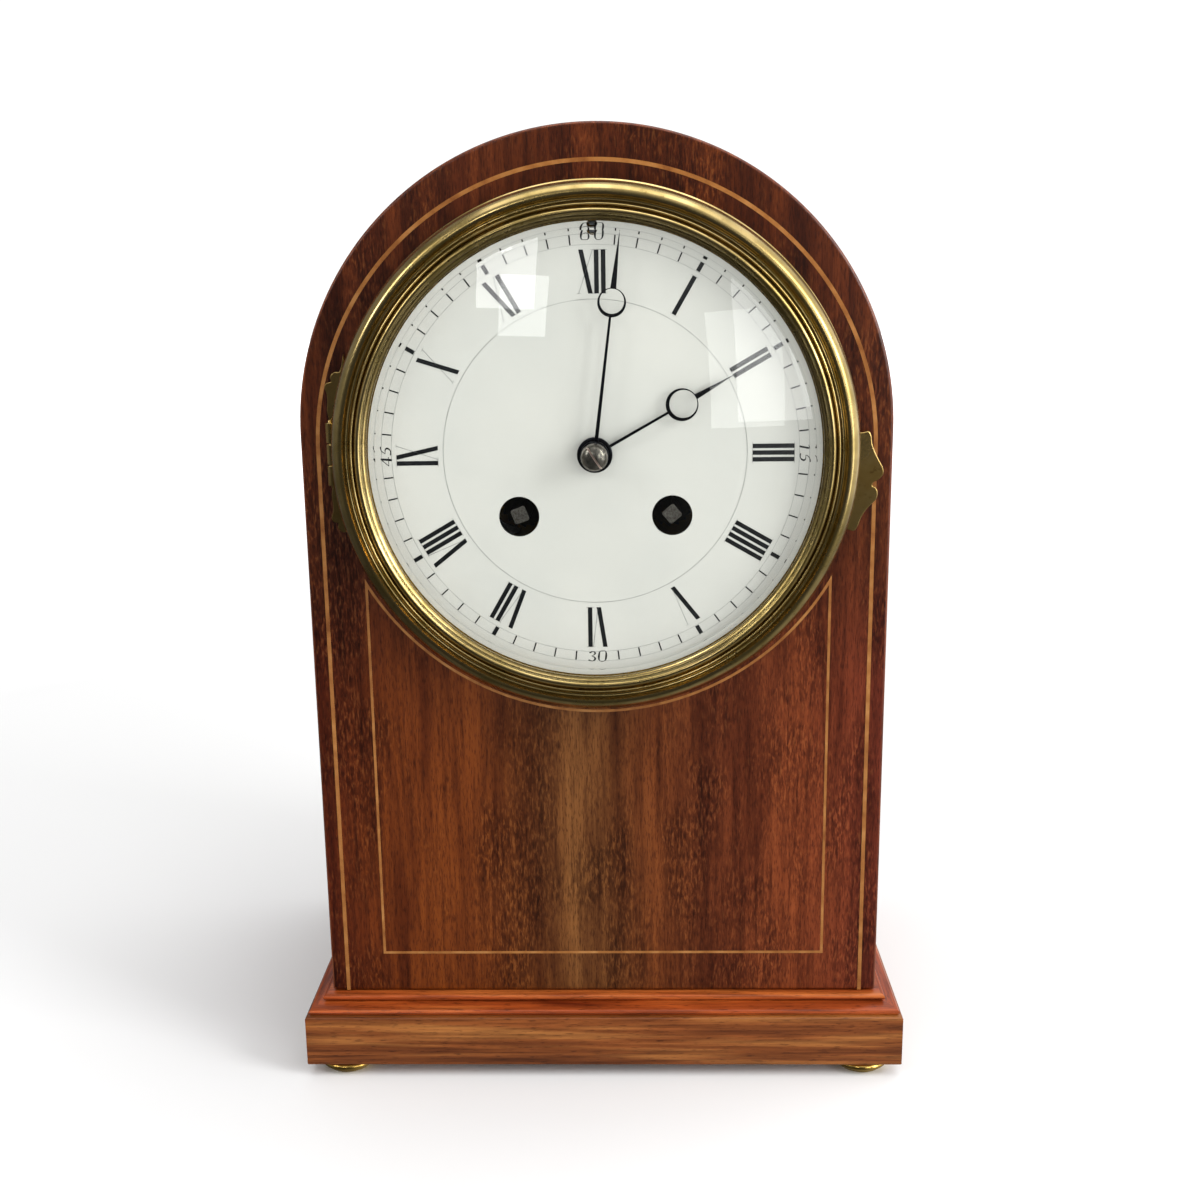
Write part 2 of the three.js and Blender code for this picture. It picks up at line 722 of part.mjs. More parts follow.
/** The point at two given distances from two centres, on the left of the line between them. */
function meeting([ax, ay], fromA, [bx, by], fromB) {
	const apart = Math.hypot(bx - ax, by - ay);
	const along = (fromA ** 2 - fromB ** 2 + apart ** 2) / (2 * apart);
	const aside = Math.sqrt(Math.max(fromA ** 2 - along ** 2, 0));
	const line = bearing([ax, ay], [bx, by]);
	return polar(aside, line + Math.PI / 2, polar(along, line, [ax, ay]));
}

/** A slender arbor that turns in both plates, and one with a thicker body between them. */
const slenderArbor = () => disc(pivotRadius, frontPlateDepth + 0.3, backPlateBack - 0.3, 6);
const arbor = () =>
	join(slenderArbor(), disc(arborRadius, frontPlateBack + fit, backPlateFront - fit, 6));

// Where each arbor stands
const mirrored = ([x, y]) => [-x, y];
const centreAt = [0, 0];
const escapeAt = [0, escapeRise];
const palletAt = [0, palletRise];
const [strikeBarrelAt, goingBarrelAt] = windingPoints;
const secondAt = meeting(
	centreAt, spacing(secondTeeth, centreLeaves, secondModule),
	goingBarrelAt, spacing(barrelTeeth, secondLeaves, barrelModule),
);
const strikeSecondAt = mirrored(secondAt);
const thirdAt = mirrored(meeting(
	centreAt, spacing(centreTeeth, thirdLeaves, centreModule),
	escapeAt, spacing(thirdTeeth, escapeLeaves, thirdModule),
));
const pinAt = polar(spacing(secondTeeth, pinLeaves, secondModule), radians(110), strikeSecondAt);
const flyAt = polar(spacing(pinTeeth, flyLeaves, pinModule), radians(153), pinAt);
const hammerAt = polar(plateRadius - 5, radians(161.5));

// Depths of the wheels between the plates
const barrelNear = frontPlateBack + 3.5;
const barrelWheelNear = barrelNear + barrelLength;
const barrelBack = barrelWheelNear + wheelThickness + 0.6;
const strikeWheelNear = barrelBack + 0.5;
const secondWheelNear = strikeWheelNear + 2.7;
const centreWheelNear = frontPlateBack + 1.5;
const thirdWheelNear = centreWheelNear + 9;
const escapeWheelNear = thirdWheelNear + 6;
const pinWheelNear = barrelWheelNear - 4;

const centred = ([x, y]) => [x, y, 0];

// ---- plates, pillars and straps -----------------------------------------------------------

const minuteDistance = spacing(cannonLeaves, minuteTeeth, motionModule);
const minuteWheelAt = [0, -minuteDistance];
const clickTurns = [radians(-35), radians(215)];
const clickPoints = [goingBarrelAt, strikeBarrelAt].map((at, i) => polar(clickAt, clickTurns[i], at));
const smallPivots = [secondAt, strikeSecondAt, centreAt, thirdAt, escapeAt, pinAt, flyAt];
const barrelJournal = 1.9;
const plateHole = (radius) => (at) => circle(radius + pivotEase, smallSides, at);
const studRadius = 0.8;
const clickNear = frontPlateDepth - 2.6;
const clickFar = clickNear + 1.2;
const motionNear = frontPlateDepth - 3.4;

place('front_plate', join(
	slab(outlineOf(circle(plateRadius, largeSides), [
		...[...smallPivots, palletAt, hammerAt].map(plateHole(pivotRadius)),
		...windingPoints.map(plateHole(barrelJournal)),
	]), frontPlateDepth, frontPlateBack),
	disc(studRadius, motionNear - 4.2, frontPlateDepth + 0.5, 6, minuteWheelAt),
	...clickPoints.map((at) => disc(studRadius, clickNear - 0.4, frontPlateDepth + 0.5, 6, at)),
), brass());
place('back_plate', slab(outlineOf(circle(plateRadius, largeSides), [
	...smallPivots.map(plateHole(pivotRadius)),
	...[palletAt, hammerAt].map(plateHole(arborRadius)),
	...windingPoints.map(plateHole(barrelJournal)),
]), backPlateFront, backPlateBack), brass());

const pillarAngles = { upper_right: 64, upper_left: 116, lower_left: 257, lower_right: 283 };
for (const [corner, degrees] of Object.entries(pillarAngles)) {
	const [near, far] = [frontPlateBack + fit, backPlateFront - fit];
	const collar = pillarRadius + 1;
	place(`pillar_${corner}`, turned([
		[0, near], [collar, near], [collar, near + 2], [pillarRadius, near + 4],
		[pillarRadius, far - 4], [collar, far - 2], [collar, far], [0, far],
	], smallSides), brass(), dialGroup, centred(polar(plateRadius - 4.6, radians(degrees))));
}

const lugDepth = backBoardFront + 4;
const strapFar = lugDepth - 6;
for (const [name, side] of [['left', -1], ['right', 1]]) {
	const ends = (a, b) => [a, b].map((x) => side * x).sort((p, q) => p - q);
	const web = ends(strapAt - strapThickness / 2, strapAt + strapThickness / 2);
	const foot = ends(screwAt - 3, strapAt);
	const width = [-strapWidth / 2, strapWidth / 2];
	const near = ledgeBack + fit;
	place(`strap_${name}`, cut(
		join(
			block(web, width, [near, strapFar]),
			block(foot, width, [near, near + strapThickness]),
			block(foot, width, [strapFar - strapThickness, strapFar]),
		),
		disc(screwRadius + fit, strapFar - 4, strapFar + 4, smallSides, [side * screwAt, 0]),
	), brass());
	place(`strap_screw_${name}`, join(
		disc(screwRadius, strapFar - 4, lugDepth + rearSheet + fit + 0.2),
		turned([
			[0, lugDepth + rearSheet + fit], [screwHead, lugDepth + rearSheet + fit],
			[screwHead, lugDepth + rearSheet + 1.5], [screwHead - 0.6, lugDepth + rearSheet + 2],
			[0, lugDepth + rearSheet + 2],
		], 12),
	), steel(), dialGroup, [side * screwAt, 0, 0]);
}

// ---- winding work: barrels, their arbors, ratchets and clicks -----------------------------

const drumRadius = barrelPitch - 1.4;
const barrelBore = barrelJournal + 0.4 + fit;
const drumWall = 1.2;
const squareNear = dialFace + 2;
const windings = [
	['going', goingBarrelAt, goingSquareTurn, clickTurns[0]],
	['strike', strikeBarrelAt, strikeSquareTurn, clickTurns[1]],
];
windings.forEach(([train, at, squareTurn, clickTurn], index) => {
	const drum = turned([
		[barrelBore, barrelNear], [drumRadius, barrelNear], [drumRadius, barrelBack],
		[barrelBore, barrelBack], [barrelBore, barrelBack - drumWall],
		[drumRadius - drumWall, barrelBack - drumWall], [drumRadius - drumWall, barrelNear + drumWall],
		[barrelBore, barrelNear + drumWall],
	], middleSides);
	const rim = slab(outlineOf(
		teethOutline(barrelTeeth, barrelModule, 0), [circle(drumRadius - 0.6, middleSides)],
	), barrelWheelNear, barrelWheelNear + wheelThickness);
	place(`${train}_barrel`, join(drum, rim), brass(), dialGroup, centred(at));

	const half = windingSquare / 2;
	const square = slab(outlineOf(circle(half * Math.SQRT2, 4, [0, 0], Math.PI / 4)),
		squareNear, clickNear - 1).rotate([0, 0, squareTurn]);
	const ratchet = slab(outlineOf(Array.from({ length: 2 * ratchetTeeth }, (_, i) =>
		polar(ratchetRadius - (i % 2 ? 0.9 : 0), tau * i / (2 * ratchetTeeth)))), clickNear, clickFar);
	place(`${train}_arbor`, join(
		square, ratchet,
		disc(barrelJournal, clickNear - 2, backPlateBack - 0.3),
		disc(barrelJournal + 0.4, frontPlateBack + fit, backPlateFront - fit),
	), steel(), dialGroup, centred(at));

	// The click hangs beside the ratchet with its beak just clear of the teeth.
	const tip = polar(ratchetRadius + 0.4, radians(43));
	const beak = [
		[clickAt - 1.2, -1], [clickAt + 1.2, -0.6], [clickAt + 0.3, 3.2],
		[tip[0] + 0.8, tip[1] + 0.6], tip,
	];
	const lever = join(
		slab(outlineOf(beak), clickNear, clickFar),
		disc(1.9, clickNear, clickFar, smallSides, [clickAt, 0]),
	);
	const bored = cut(lever, disc(studRadius + fit, clickNear - 1, clickFar + 1, smallSides, [clickAt, 0]));
	const atPivot = bored.translate([-clickAt, 0, 0]).rotate([0, 0, THREE.MathUtils.radToDeg(clickTurn)]);
	place(`${train}_click`, atPivot, steel(), dialGroup, centred(clickPoints[index]));
});

// ---- going train --------------------------------------------------------------------------

const [barrelMesh, secondMesh] = [barrelWheelNear - 0.5, barrelWheelNear + wheelThickness + 0.8];
const goingSecondPhase = phaseAgainst(barrelTeeth, 0, secondLeaves, bearing(goingBarrelAt, secondAt));
place('second_wheel', join(
	arbor(),
	pinion(secondLeaves, barrelModule, barrelMesh, secondMesh, goingSecondPhase),
	wheel(secondTeeth, secondModule, secondWheelNear),
), brass(), dialGroup, centred(secondAt));

const centrePhase = phaseAgainst(secondTeeth, 0, centreLeaves, bearing(secondAt, centreAt));
const endOf = (near) => near + wheelThickness + 0.5;
place('centre_wheel', join(
	arbor(),
	disc(pivotRadius, nutFront + 2.4, frontPlateDepth + 1, 6),
	pinion(centreLeaves, secondModule, secondWheelNear - 0.5, endOf(secondWheelNear), centrePhase),
	wheel(centreTeeth, centreModule, centreWheelNear, 0, 4),
), brass(), dialGroup, centred(centreAt));

const thirdPhase = phaseAgainst(centreTeeth, 0, thirdLeaves, bearing(centreAt, thirdAt));
place('third_wheel', join(
	arbor(),
	pinion(thirdLeaves, centreModule, centreWheelNear - 0.5, endOf(centreWheelNear), thirdPhase),
	wheel(thirdTeeth, thirdModule, thirdWheelNear),
), brass(), dialGroup, centred(thirdAt));

const escapePhase = phaseAgainst(thirdTeeth, 0, escapeLeaves, bearing(thirdAt, escapeAt));
const escapeTooth = tau / escapeTeeth;
const escapeShape = Array.from({ length: escapeTeeth }, (_, i) => [
	polar(escapeRadius, i * escapeTooth), polar(escapeRadius - 1.3, (i + 0.25) * escapeTooth),
]).flat();
place('escape_wheel', join(
	slenderArbor(),
	pinion(escapeLeaves, thirdModule, thirdWheelNear - 0.5, endOf(thirdWheelNear), escapePhase),
	slab(outlineOf(escapeShape), escapeWheelNear, escapeWheelNear + 0.8),
), brass(), dialGroup, centred(escapeAt));

// The anchor spans the escape wheel, and the crutch behind the plates leads the pendulum.
const crutchNear = backPlateBack + 1.7;
const anchorEdge = [[1.6, 1.4], [5.2, 0.6], [7.8, -2.4], [7, -5.2], [6.2, -4.6], [5.6, -2.6], [3.6, -1.2]];
const anchor = outlineOf([
	...anchorEdge, [0, -1.8], ...anchorEdge.map(([x, y]) => [-x, y]).reverse(),
]);
const crutchHalf = 0.7;
const forkGap = rodRadius + fit;
place('pallet_arbor', join(
	disc(arborRadius, frontPlateBack + fit, crutchNear + 1.2, 6),
	disc(pivotRadius, frontPlateDepth + 0.3, crutchNear + 3, 6),
	slab(anchor, escapeWheelNear - 0.4, escapeWheelNear + 1.2),
	disc(2, crutchNear, crutchNear + 1.2),
	block([-crutchHalf, crutchHalf], [-crutchLength, 0], [crutchNear, crutchNear + 1]),
	block([-forkGap - 0.8, forkGap + 0.8], [-crutchLength - 1.6, -crutchLength + 0.2],
		[crutchNear, crutchNear + 1]),
	...[-1, 1].map((side) => {
		const prong = [side * forkGap, side * (forkGap + 0.8)].sort((a, b) => a - b);
		return block(prong, [-crutchLength - 1.6, -crutchLength + 0.2],
			[crutchNear + 0.5, pendulumDepth + 1.2]);
	}),
), steel(), dialGroup, centred(palletAt));

// ---- motion work --------------------------------------------------------------------------

const motionFar = motionNear + 1.4;
const hourModule = 2 * (minuteDistance - meshEase) / (minuteLeaves + hourTeeth);
const hourNear = motionNear - 2;
const throughCannon = disc(cannonBore, minuteFront - 9, frontPlateDepth, 12);
place('cannon_pinion', cut(join(
	pinion(cannonLeaves, motionModule, motionNear - 0.3, motionFar + 0.3, 0),
	disc(cannonRadius, minuteFront - colletRise, motionFar + 0.4, 12),
), throughCannon), steel());

const downward = -Math.PI / 2;
const minutePhase = phaseAgainst(cannonLeaves, 0, minuteTeeth, downward);
const minuteSolid = cut(join(
	wheel(minuteTeeth, motionModule, motionNear, minutePhase),
	pinion(minuteLeaves, hourModule, hourNear - 1.2, motionNear + 0.2, 0),
), disc(studRadius + fit, hourNear - 3, frontPlateDepth, 12));
place('minute_wheel', minuteSolid, brass(), dialGroup, centred(minuteWheelAt));

const hourPhase = phaseAgainst(minuteLeaves, 0, hourTeeth, Math.PI / 2);
place('hour_wheel', cut(join(
	slab(outlineOf(teethOutline(hourTeeth, hourModule, hourPhase)), hourNear - 0.6, hourNear + 0.4),
	disc(hourPipeRadius, hourFront - colletRise + fit, hourNear + 1, 12),
), disc(hourPipeBore, minuteFront, frontPlateDepth, 12)), brass());

// ---- striking train -----------------------------------------------------------------------

const strikePhase = phaseAgainst(barrelTeeth, 0, secondLeaves, bearing(strikeBarrelAt, strikeSecondAt));
place('strike_second_wheel', join(
	arbor(),
	pinion(secondLeaves, barrelModule, barrelMesh, secondMesh, strikePhase),
	wheel(secondTeeth, secondModule, strikeWheelNear),
), brass(), dialGroup, centred(strikeSecondAt));

const pinPhase = phaseAgainst(secondTeeth, 0, pinLeaves, bearing(strikeSecondAt, pinAt));
const pinCircle = pinModule * pinTeeth / 2 - 1.6;
const liftingPins = circle(pinCircle, pinCount).map((at) =>
	disc(0.4, pinWheelNear + 0.5, pinWheelNear + 4, 4, at));
place('pin_wheel', join(
	arbor(),
	pinion(pinLeaves, secondModule, strikeWheelNear - 0.5, endOf(strikeWheelNear), pinPhase),
	wheel(pinTeeth, pinModule, pinWheelNear, 0),
	...liftingPins,
), brass(), dialGroup, centred(pinAt));

const flyPhase = phaseAgainst(pinTeeth, 0, flyLeaves, bearing(pinAt, flyAt));
place('fly', join(
	slenderArbor(),
	pinion(flyLeaves, pinModule, pinWheelNear - 0.5, endOf(pinWheelNear), flyPhase),
	block([-flyHalf, flyHalf], [-0.25, 0.25], [frontPlateBack + 3, pinWheelNear - 3]),
), brass(), dialGroup, centred(flyAt));

// The hammer: a tail between the plates, and behind them an arm with a head beside the bell.
const hammerLean = radians(4.8);
const headAt = polar(hammerLength, hammerLean - Math.PI / 2);
const tailTurn = bearing(hammerAt, pinAt);
const tailReach = Math.hypot(pinAt[0] - hammerAt[0], pinAt[1] - hammerAt[1]) - pinCircle - 1.5;
const bar = (from, to, half, near, far) => {
	const side = bearing(from, to) + Math.PI / 2;
	return slab(outlineOf([
		polar(half, side, from), polar(-half, side, from), polar(-half, side, to), polar(half, side, to),
	]), near, far);
};
const hammerNear = backPlateBack + 1.7;
const headNear = bellMouth + 0.5;
place('hammer', join(
	disc(arborRadius, frontPlateBack + fit, hammerNear + 1.6, 6),
	disc(pivotRadius, frontPlateDepth + 0.3, frontPlateBack + 1, 6),
	bar([0, 0], polar(tailReach, tailTurn), 0.6, pinWheelNear + 2.4, pinWheelNear + 3.4),
	disc(1.8, hammerNear, hammerNear + 1.2),
	bar([0, 0], headAt, 0.8, hammerNear, hammerNear + 1.2),
	disc(0.9, hammerNear, headNear + 0.5, 6, headAt),
	disc(hammerHeadRadius, headNear, headNear + 5, 12, headAt),
), steel(), dialGroup, centred(hammerAt));

const bellBore = 2.2;
const bellSteps = 5;
const bellCurve = (inset) => Array.from({ length: bellSteps + 1 }, (_, i) => {
	const turn = i / bellSteps * Math.PI / 2;
	const share = Math.sin(turn) ** 0.8;
	const radius = (bellRadius - inset) * Math.max(Math.cos(turn), 0) ** 0.7;
	return [Math.max(radius, bellBore), bellMouth + (bellHeight - inset) * share];
});
place('bell', turned([...bellCurve(0), ...bellCurve(bellWall).reverse()], 24),
	surface(0xb89b5e, 0.2, 1), dialGroup, [0, -bellDrop, 0]);

// The stand reaches from the back plate round the pendulum to the middle of the bell.
const standFoot = [16, -bellDrop - 10];
const standNear = pendulumDepth + 3.5;
const bellMiddle = [0, -bellDrop];
const crownInside = bellCrown - bellWall;
place('bell_stand', join(
	disc(3.2, backPlateBack + fit, backPlateBack + fit + 1.4, smallSides, standFoot),
	disc(1.8, backPlateBack + fit, standNear + 1, smallSides, standFoot),
	bar(standFoot, bellMiddle, 1.8, standNear, standNear + 1.6),
	disc(1.8, standNear, standNear + 1.6, smallSides, bellMiddle),
	disc(bellBore - 0.6, standNear, bellCrown + 2.6, smallSides, bellMiddle),
	disc(3.4, crownInside - fit - 1.2, crownInside - fit, smallSides, bellMiddle),
	disc(3, bellCrown + fit, bellCrown + 2, 6, bellMiddle),
), steel());

// ---- pendulum -----------------------------------------------------------------------------

// A bridge over the pallet arbor carries the suspension spring and the regulator's bearing.
const bridgeNear = crutchNear + 2.2;
const bridgeFar = bridgeNear + 1.4;
const clampLow = springTop + fit;
const legs = [-1, 1].map((side) => block(
	[side * 8, side * 11].sort((a, b) => a - b), [-1.5, 4.5], [backPlateBack + fit, bridgeNear + 0.2]));
place('suspension_cock', cut(
	join(
		...legs,
		block([-11, 11], [-1.5, 4.5], [bridgeNear, bridgeFar]),
		block([-2.6, 2.6], [clampLow, clampLow + 4.2], [bridgeFar - 0.2, pendulumDepth + springWidth]),
		block([-2.6, 2.6], [4, regulatorRise - palletRise + 3], [bridgeNear, bridgeFar]),
	),
	disc(pivotRadius + pivotEase, bridgeNear - 1, bridgeFar + 1),
	disc(arborRadius + pivotEase, bridgeNear - 1, bridgeFar + 1, smallSides,
		[0, regulatorRise - palletRise]),
), brass(), dialGroup, centred(palletAt));

const springFoot = springTop - springLength;
place('suspension_spring', block(
	[-springThickness / 2, springThickness / 2], [springFoot, springTop],
	[pendulumDepth - springWidth / 2, pendulumDepth + springWidth / 2],
), steel(), dialGroup, centred(palletAt));

const rodTop = springFoot - fit;
place('pendulum_rod', join(
	block([-1.5, 1.5], [rodTop - 3.5, rodTop], [pendulumDepth - 1.2, pendulumDepth + 1.2]),
	upright(rodRadius, [-pendulumLength - bobRadius - 7, rodTop - 2], 0, pendulumDepth),
	upright(2.2, [-pendulumLength - bobRadius - 4, -pendulumLength - bobRadius - 2], 0, pendulumDepth),
), steel(), dialGroup, centred(palletAt));

const bobCentre = [palletAt[0], palletAt[1] - pendulumLength, 0];
const [bobNear, bobFar] = [-1, 1].map((side) => pendulumDepth + side * bobThickness / 2);
place('pendulum_bob', cut(turned([
	[0, bobNear], [0.6 * bobRadius, bobNear + 0.7], [0.9 * bobRadius, bobNear + 2.4],
	[bobRadius, bobNear + 3.9], [bobRadius, bobFar - 3.9], [0.9 * bobRadius, bobFar - 2.4],
	[0.6 * bobRadius, bobFar - 0.7], [0, bobFar],
], middleSides), upright(rodRadius + fit, [-2 * bobRadius, 2 * bobRadius], 0, pendulumDepth)),
brass(), dialGroup, bobCentre);

place('regulator_arbor', join(
	disc(arborRadius, dialFace + 1.2, bridgeFar + 1, 6),
	block([-0.6, 0.6], [-0.6, 0.6], [dialFace + 0.4, dialFace + 1.6]),
), steel(), dialGroup, [0, regulatorRise, 0]);

// ---- rear ring and door -------------------------------------------------------------------

const lugs = [-1, 1].map((side) => block(
	[side * (screwAt - 3), side * (rearTubeInner + 0.4)].sort((a, b) => a - b),
	[-strapWidth / 2 - 1, strapWidth / 2 + 1], [lugDepth, lugDepth + rearSheet]));
const lugHoles = [-1, 1].map((side) =>
	disc(screwRadius + fit, lugDepth - 2, lugDepth + 4, smallSides, [side * screwAt, 0]));
const rearFixedLeaf = ([low, high]) => block(
	[rearFlangeRadius - 1, rearHingeAt], [low, high], [rearFlangeFront, rearFlangeBack]);
const rearRiser = ([low, high]) => block(
	[rearHingeAt - 0.2, rearHingeAt + barrelRadius], [low, high], [rearFlangeFront, rearHingeDepth]);
place('rear_ring', cut(
	join(
		turned([
			[rearTubeInner, backBoardFront], [rearTubeRadius, backBoardFront],
			[rearTubeRadius, rearFlangeFront], [rearFlangeRadius, rearFlangeFront],
			[rearFlangeRadius, rearFlangeBack], [rearTubeInner, rearFlangeBack],
		]),
		...lugs,
		knuckles(fixedStretches, rearHingeAt, rearHingeDepth,
			(stretch) => join(rearFixedLeaf(stretch), rearRiser(stretch))),
	),
	...lugHoles, hingeBore(rearHingeAt, rearHingeDepth),
), brass());

const doorRadius = rearFlangeRadius - doorEase;
const doorSlopeTop = doorRadius - doorRimWidth - doorSlopeWidth;
const rearDoorLeaf = ([low, high]) =>
	block([doorRadius - 2, rearHingeAt], [low, high], [doorFront, doorFront + rearSheet]);
place('rear_door', cut(
	join(
		turned([
			[0, doorBack], [doorSlopeTop, doorBack - 0.8],
			[doorRadius - doorRimWidth, doorFront + rearSheet],
			[doorRadius, doorFront + rearSheet], [doorRadius, doorFront],
			[doorRadius - doorRimWidth - rearSheet / 2, doorFront],
			[doorSlopeTop - rearSheet / 2, doorBack - 0.8 - rearSheet], [0, doorBack - rearSheet],
		]),
		knuckles(doorStretch, rearHingeAt, rearHingeDepth, rearDoorLeaf),
	),
	hingeBore(rearHingeAt, rearHingeDepth),
), brass());
place('rear_hinge_pin', upright(
	hingePinRadius, [-barrelHalf - 0.8, barrelHalf + 0.8], rearHingeAt, rearHingeDepth,
), brass());

export default clock;
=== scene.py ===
import json
import math

import bpy
from mathutils import Matrix, Vector


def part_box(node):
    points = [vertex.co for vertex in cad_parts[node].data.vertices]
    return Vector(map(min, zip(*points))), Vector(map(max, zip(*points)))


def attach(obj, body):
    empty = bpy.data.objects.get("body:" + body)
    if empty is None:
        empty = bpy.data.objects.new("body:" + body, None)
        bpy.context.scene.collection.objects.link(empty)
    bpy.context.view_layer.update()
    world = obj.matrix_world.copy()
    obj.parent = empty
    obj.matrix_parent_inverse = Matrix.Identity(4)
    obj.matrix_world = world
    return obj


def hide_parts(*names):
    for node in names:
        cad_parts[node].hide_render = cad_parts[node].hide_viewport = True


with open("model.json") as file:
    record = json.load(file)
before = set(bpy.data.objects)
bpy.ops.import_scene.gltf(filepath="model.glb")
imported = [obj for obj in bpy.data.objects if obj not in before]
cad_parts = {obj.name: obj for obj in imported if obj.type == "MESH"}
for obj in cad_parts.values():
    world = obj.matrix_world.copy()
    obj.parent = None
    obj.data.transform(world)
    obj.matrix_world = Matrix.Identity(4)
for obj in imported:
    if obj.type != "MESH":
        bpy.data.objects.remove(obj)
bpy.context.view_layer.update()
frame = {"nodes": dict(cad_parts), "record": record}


# ---- base block ---------------------------------------------------------------------------
# The plinth is of solid mahogany, mitred at its front corners so that the grain runs along the
# front and the sides. It is planed, its arrises are eased by hand, and it is French polished.

MM = 0.001


def linear(code):
    """An sRGB hex colour as linear red, green, blue and alpha."""
    shares = [int(code[at:at + 2], 16) / 255 for at in (0, 2, 4)]
    return [c / 12.92 if c <= 0.04045 else ((c + 0.055) / 1.055) ** 2.4 for c in shares] + [1.0]


def set_shader(material, settings):
    """Sets constants on the sockets of the material's shader."""
    for socket, value in dict(settings).items():
        material.node_tree.nodes["Principled BSDF"].inputs[socket].default_value = value


def new_material(name, settings=()):
    """A material whose shader takes the given constants."""
    material = bpy.data.materials.new(name)
    material.use_nodes = True
    set_shader(material, settings)
    return material


def link(material, source, socket):
    """Links an output, or a node's first output, to a socket."""
    if isinstance(source, bpy.types.Node):
        source = source.outputs[0]
    material.node_tree.links.new(source, socket)


def feed(material, source, socket):
    """Links an output to a socket of the material's shader."""
    link(material, source, material.node_tree.nodes["Principled BSDF"].inputs[socket])


def add(material, kind, settings=(), links=()):
    """Adds a node; a setting or link is named by its socket, or by the node's own property.

    The stops of a colour ramp are pairs of a place and a hex colour.
    """
    node = material.node_tree.nodes.new(kind)
    for key, value in dict(settings).items():
        if key == "stops":
            elements = node.color_ramp.elements
            while len(elements) < len(value):
                elements.new(0.5)
            for element, (place, colour) in zip(elements, value):
                element.position = place
                element.color = linear(colour)
        elif isinstance(key, str) and hasattr(node, key):
            setattr(node, key, value)
        else:
            node.inputs[key].default_value = value
    for key, source in dict(links).items():
        link(material, source, node.inputs[key])
    return node


# A Mix node's sockets when it mixes colours
MIX_SHARE, MIX_A, MIX_B, MIXED = 0, 6, 7, 2


def laid_over(material, colour, pattern, stops, share, blend="MULTIPLY"):
    """Lays a pattern's tones over a colour, in a share that is a number or a node."""
    tones = add(material, "ShaderNodeValToRGB", {"stops": stops}, {0: pattern})
    mix = add(material, "ShaderNodeMix", {"data_type": "RGBA", "blend_type": blend},
              {MIX_A: colour, MIX_B: tones})
    if isinstance(share, bpy.types.Node):
        link(material, share, mix.inputs[MIX_SHARE])
    else:
        mix.inputs[MIX_SHARE].default_value = share
    return mix.outputs[MIXED]


def grained(material, sizes_mm, detail=4.0, roughness=0.55, distortion=0.0, place=None):
    """Noise stretched over the given millimetres along x, y and z."""
    place = place or add(material, "ShaderNodeTexCoord").outputs["Object"]
    mapping = add(material, "ShaderNodeMapping", {"Scale": [1 / (size * MM) for size in sizes_mm]},
                  {"Vector": place})
    return add(material, "ShaderNodeTexNoise",
               {"Scale": 1.0, "Detail": detail, "Roughness": roughness, "Distortion": distortion},
               {"Vector": mapping})


def polish(material, pores, height_mm, rough):
    """French polish: a thin clear film over the wood, in which the pores still show a little."""
    bump = add(material, "ShaderNodeBump", {"Strength": 0.35, "Distance": height_mm * MM},
               {"Height": pores})
    feed(material, bump, "Normal")
    set_shader(material, {"Roughness": rough, "IOR": 1.5, "Specular IOR Level": 0.3,
                          "Coat Weight": 0.1, "Coat Roughness": 0.16})


def long_grain(name, tones, along="x", follow=None):
    """Plain mahogany, its grain along x, y or z: broad growth bands, fine fibres and short pores.

    Where the grain is bent, follow is the function that gives the place along it.
    """
    material = new_material(name)
    place = follow(material) if follow else None
    order = {"x": (0, 1, 2), "y": (1, 0, 2), "z": (2, 1, 0)}[along]

    def noise(sizes_mm, *settings):
        return grained(material, [sizes_mm[i] for i in order], *settings, place=place)

    bands = add(material, "ShaderNodeValToRGB", {"stops": list(zip((0.3, 0.5, 0.68), tones))},
                {0: noise((85, 9, 3.4), 3, 0.5, 0.6)})
    fibres = noise((22, 1.2, 0.7), 5, 0.65)
    pores = noise((3.5, 0.5, 0.32), 2, 0.6)
    colour = laid_over(material, bands, fibres, [(0.32, "8a7f78"), (0.62, "ffffff")], 0.75)
    colour = laid_over(material, colour, pores, [(0.3, "5a4338"), (0.42, "ffffff")], 0.6)
    feed(material, colour, "Base Color")
    polish(material, pores, 0.06, 0.34)
    return material


def trail(points):
    """Merges the new plane into one corner and extrudes it from place to place."""
    bpy.ops.mesh.merge(type="CENTER")
    for start, end in zip(points, points[1:]):
        bpy.ops.mesh.extrude_vertices_move(TRANSFORM_OT_translate={"value": Vector(end) - Vector(start)})


def wire(name, points):
    """Starts a piece as a chain of edges through the points."""
    bpy.ops.object.select_all(action="DESELECT")
    bpy.ops.mesh.primitive_plane_add(size=MM, location=points[0])
    bpy.context.object.name = name
    bpy.ops.object.mode_set(mode="EDIT")
    trail(points)
    bpy.ops.mesh.select_all(action="SELECT")


def outward():
    """Merges doubled corners and turns every face outwards."""
    bpy.ops.mesh.select_all(action="SELECT")
    bpy.ops.mesh.remove_doubles(threshold=0.001 * MM)
    bpy.ops.mesh.normals_make_consistent(inside=False)


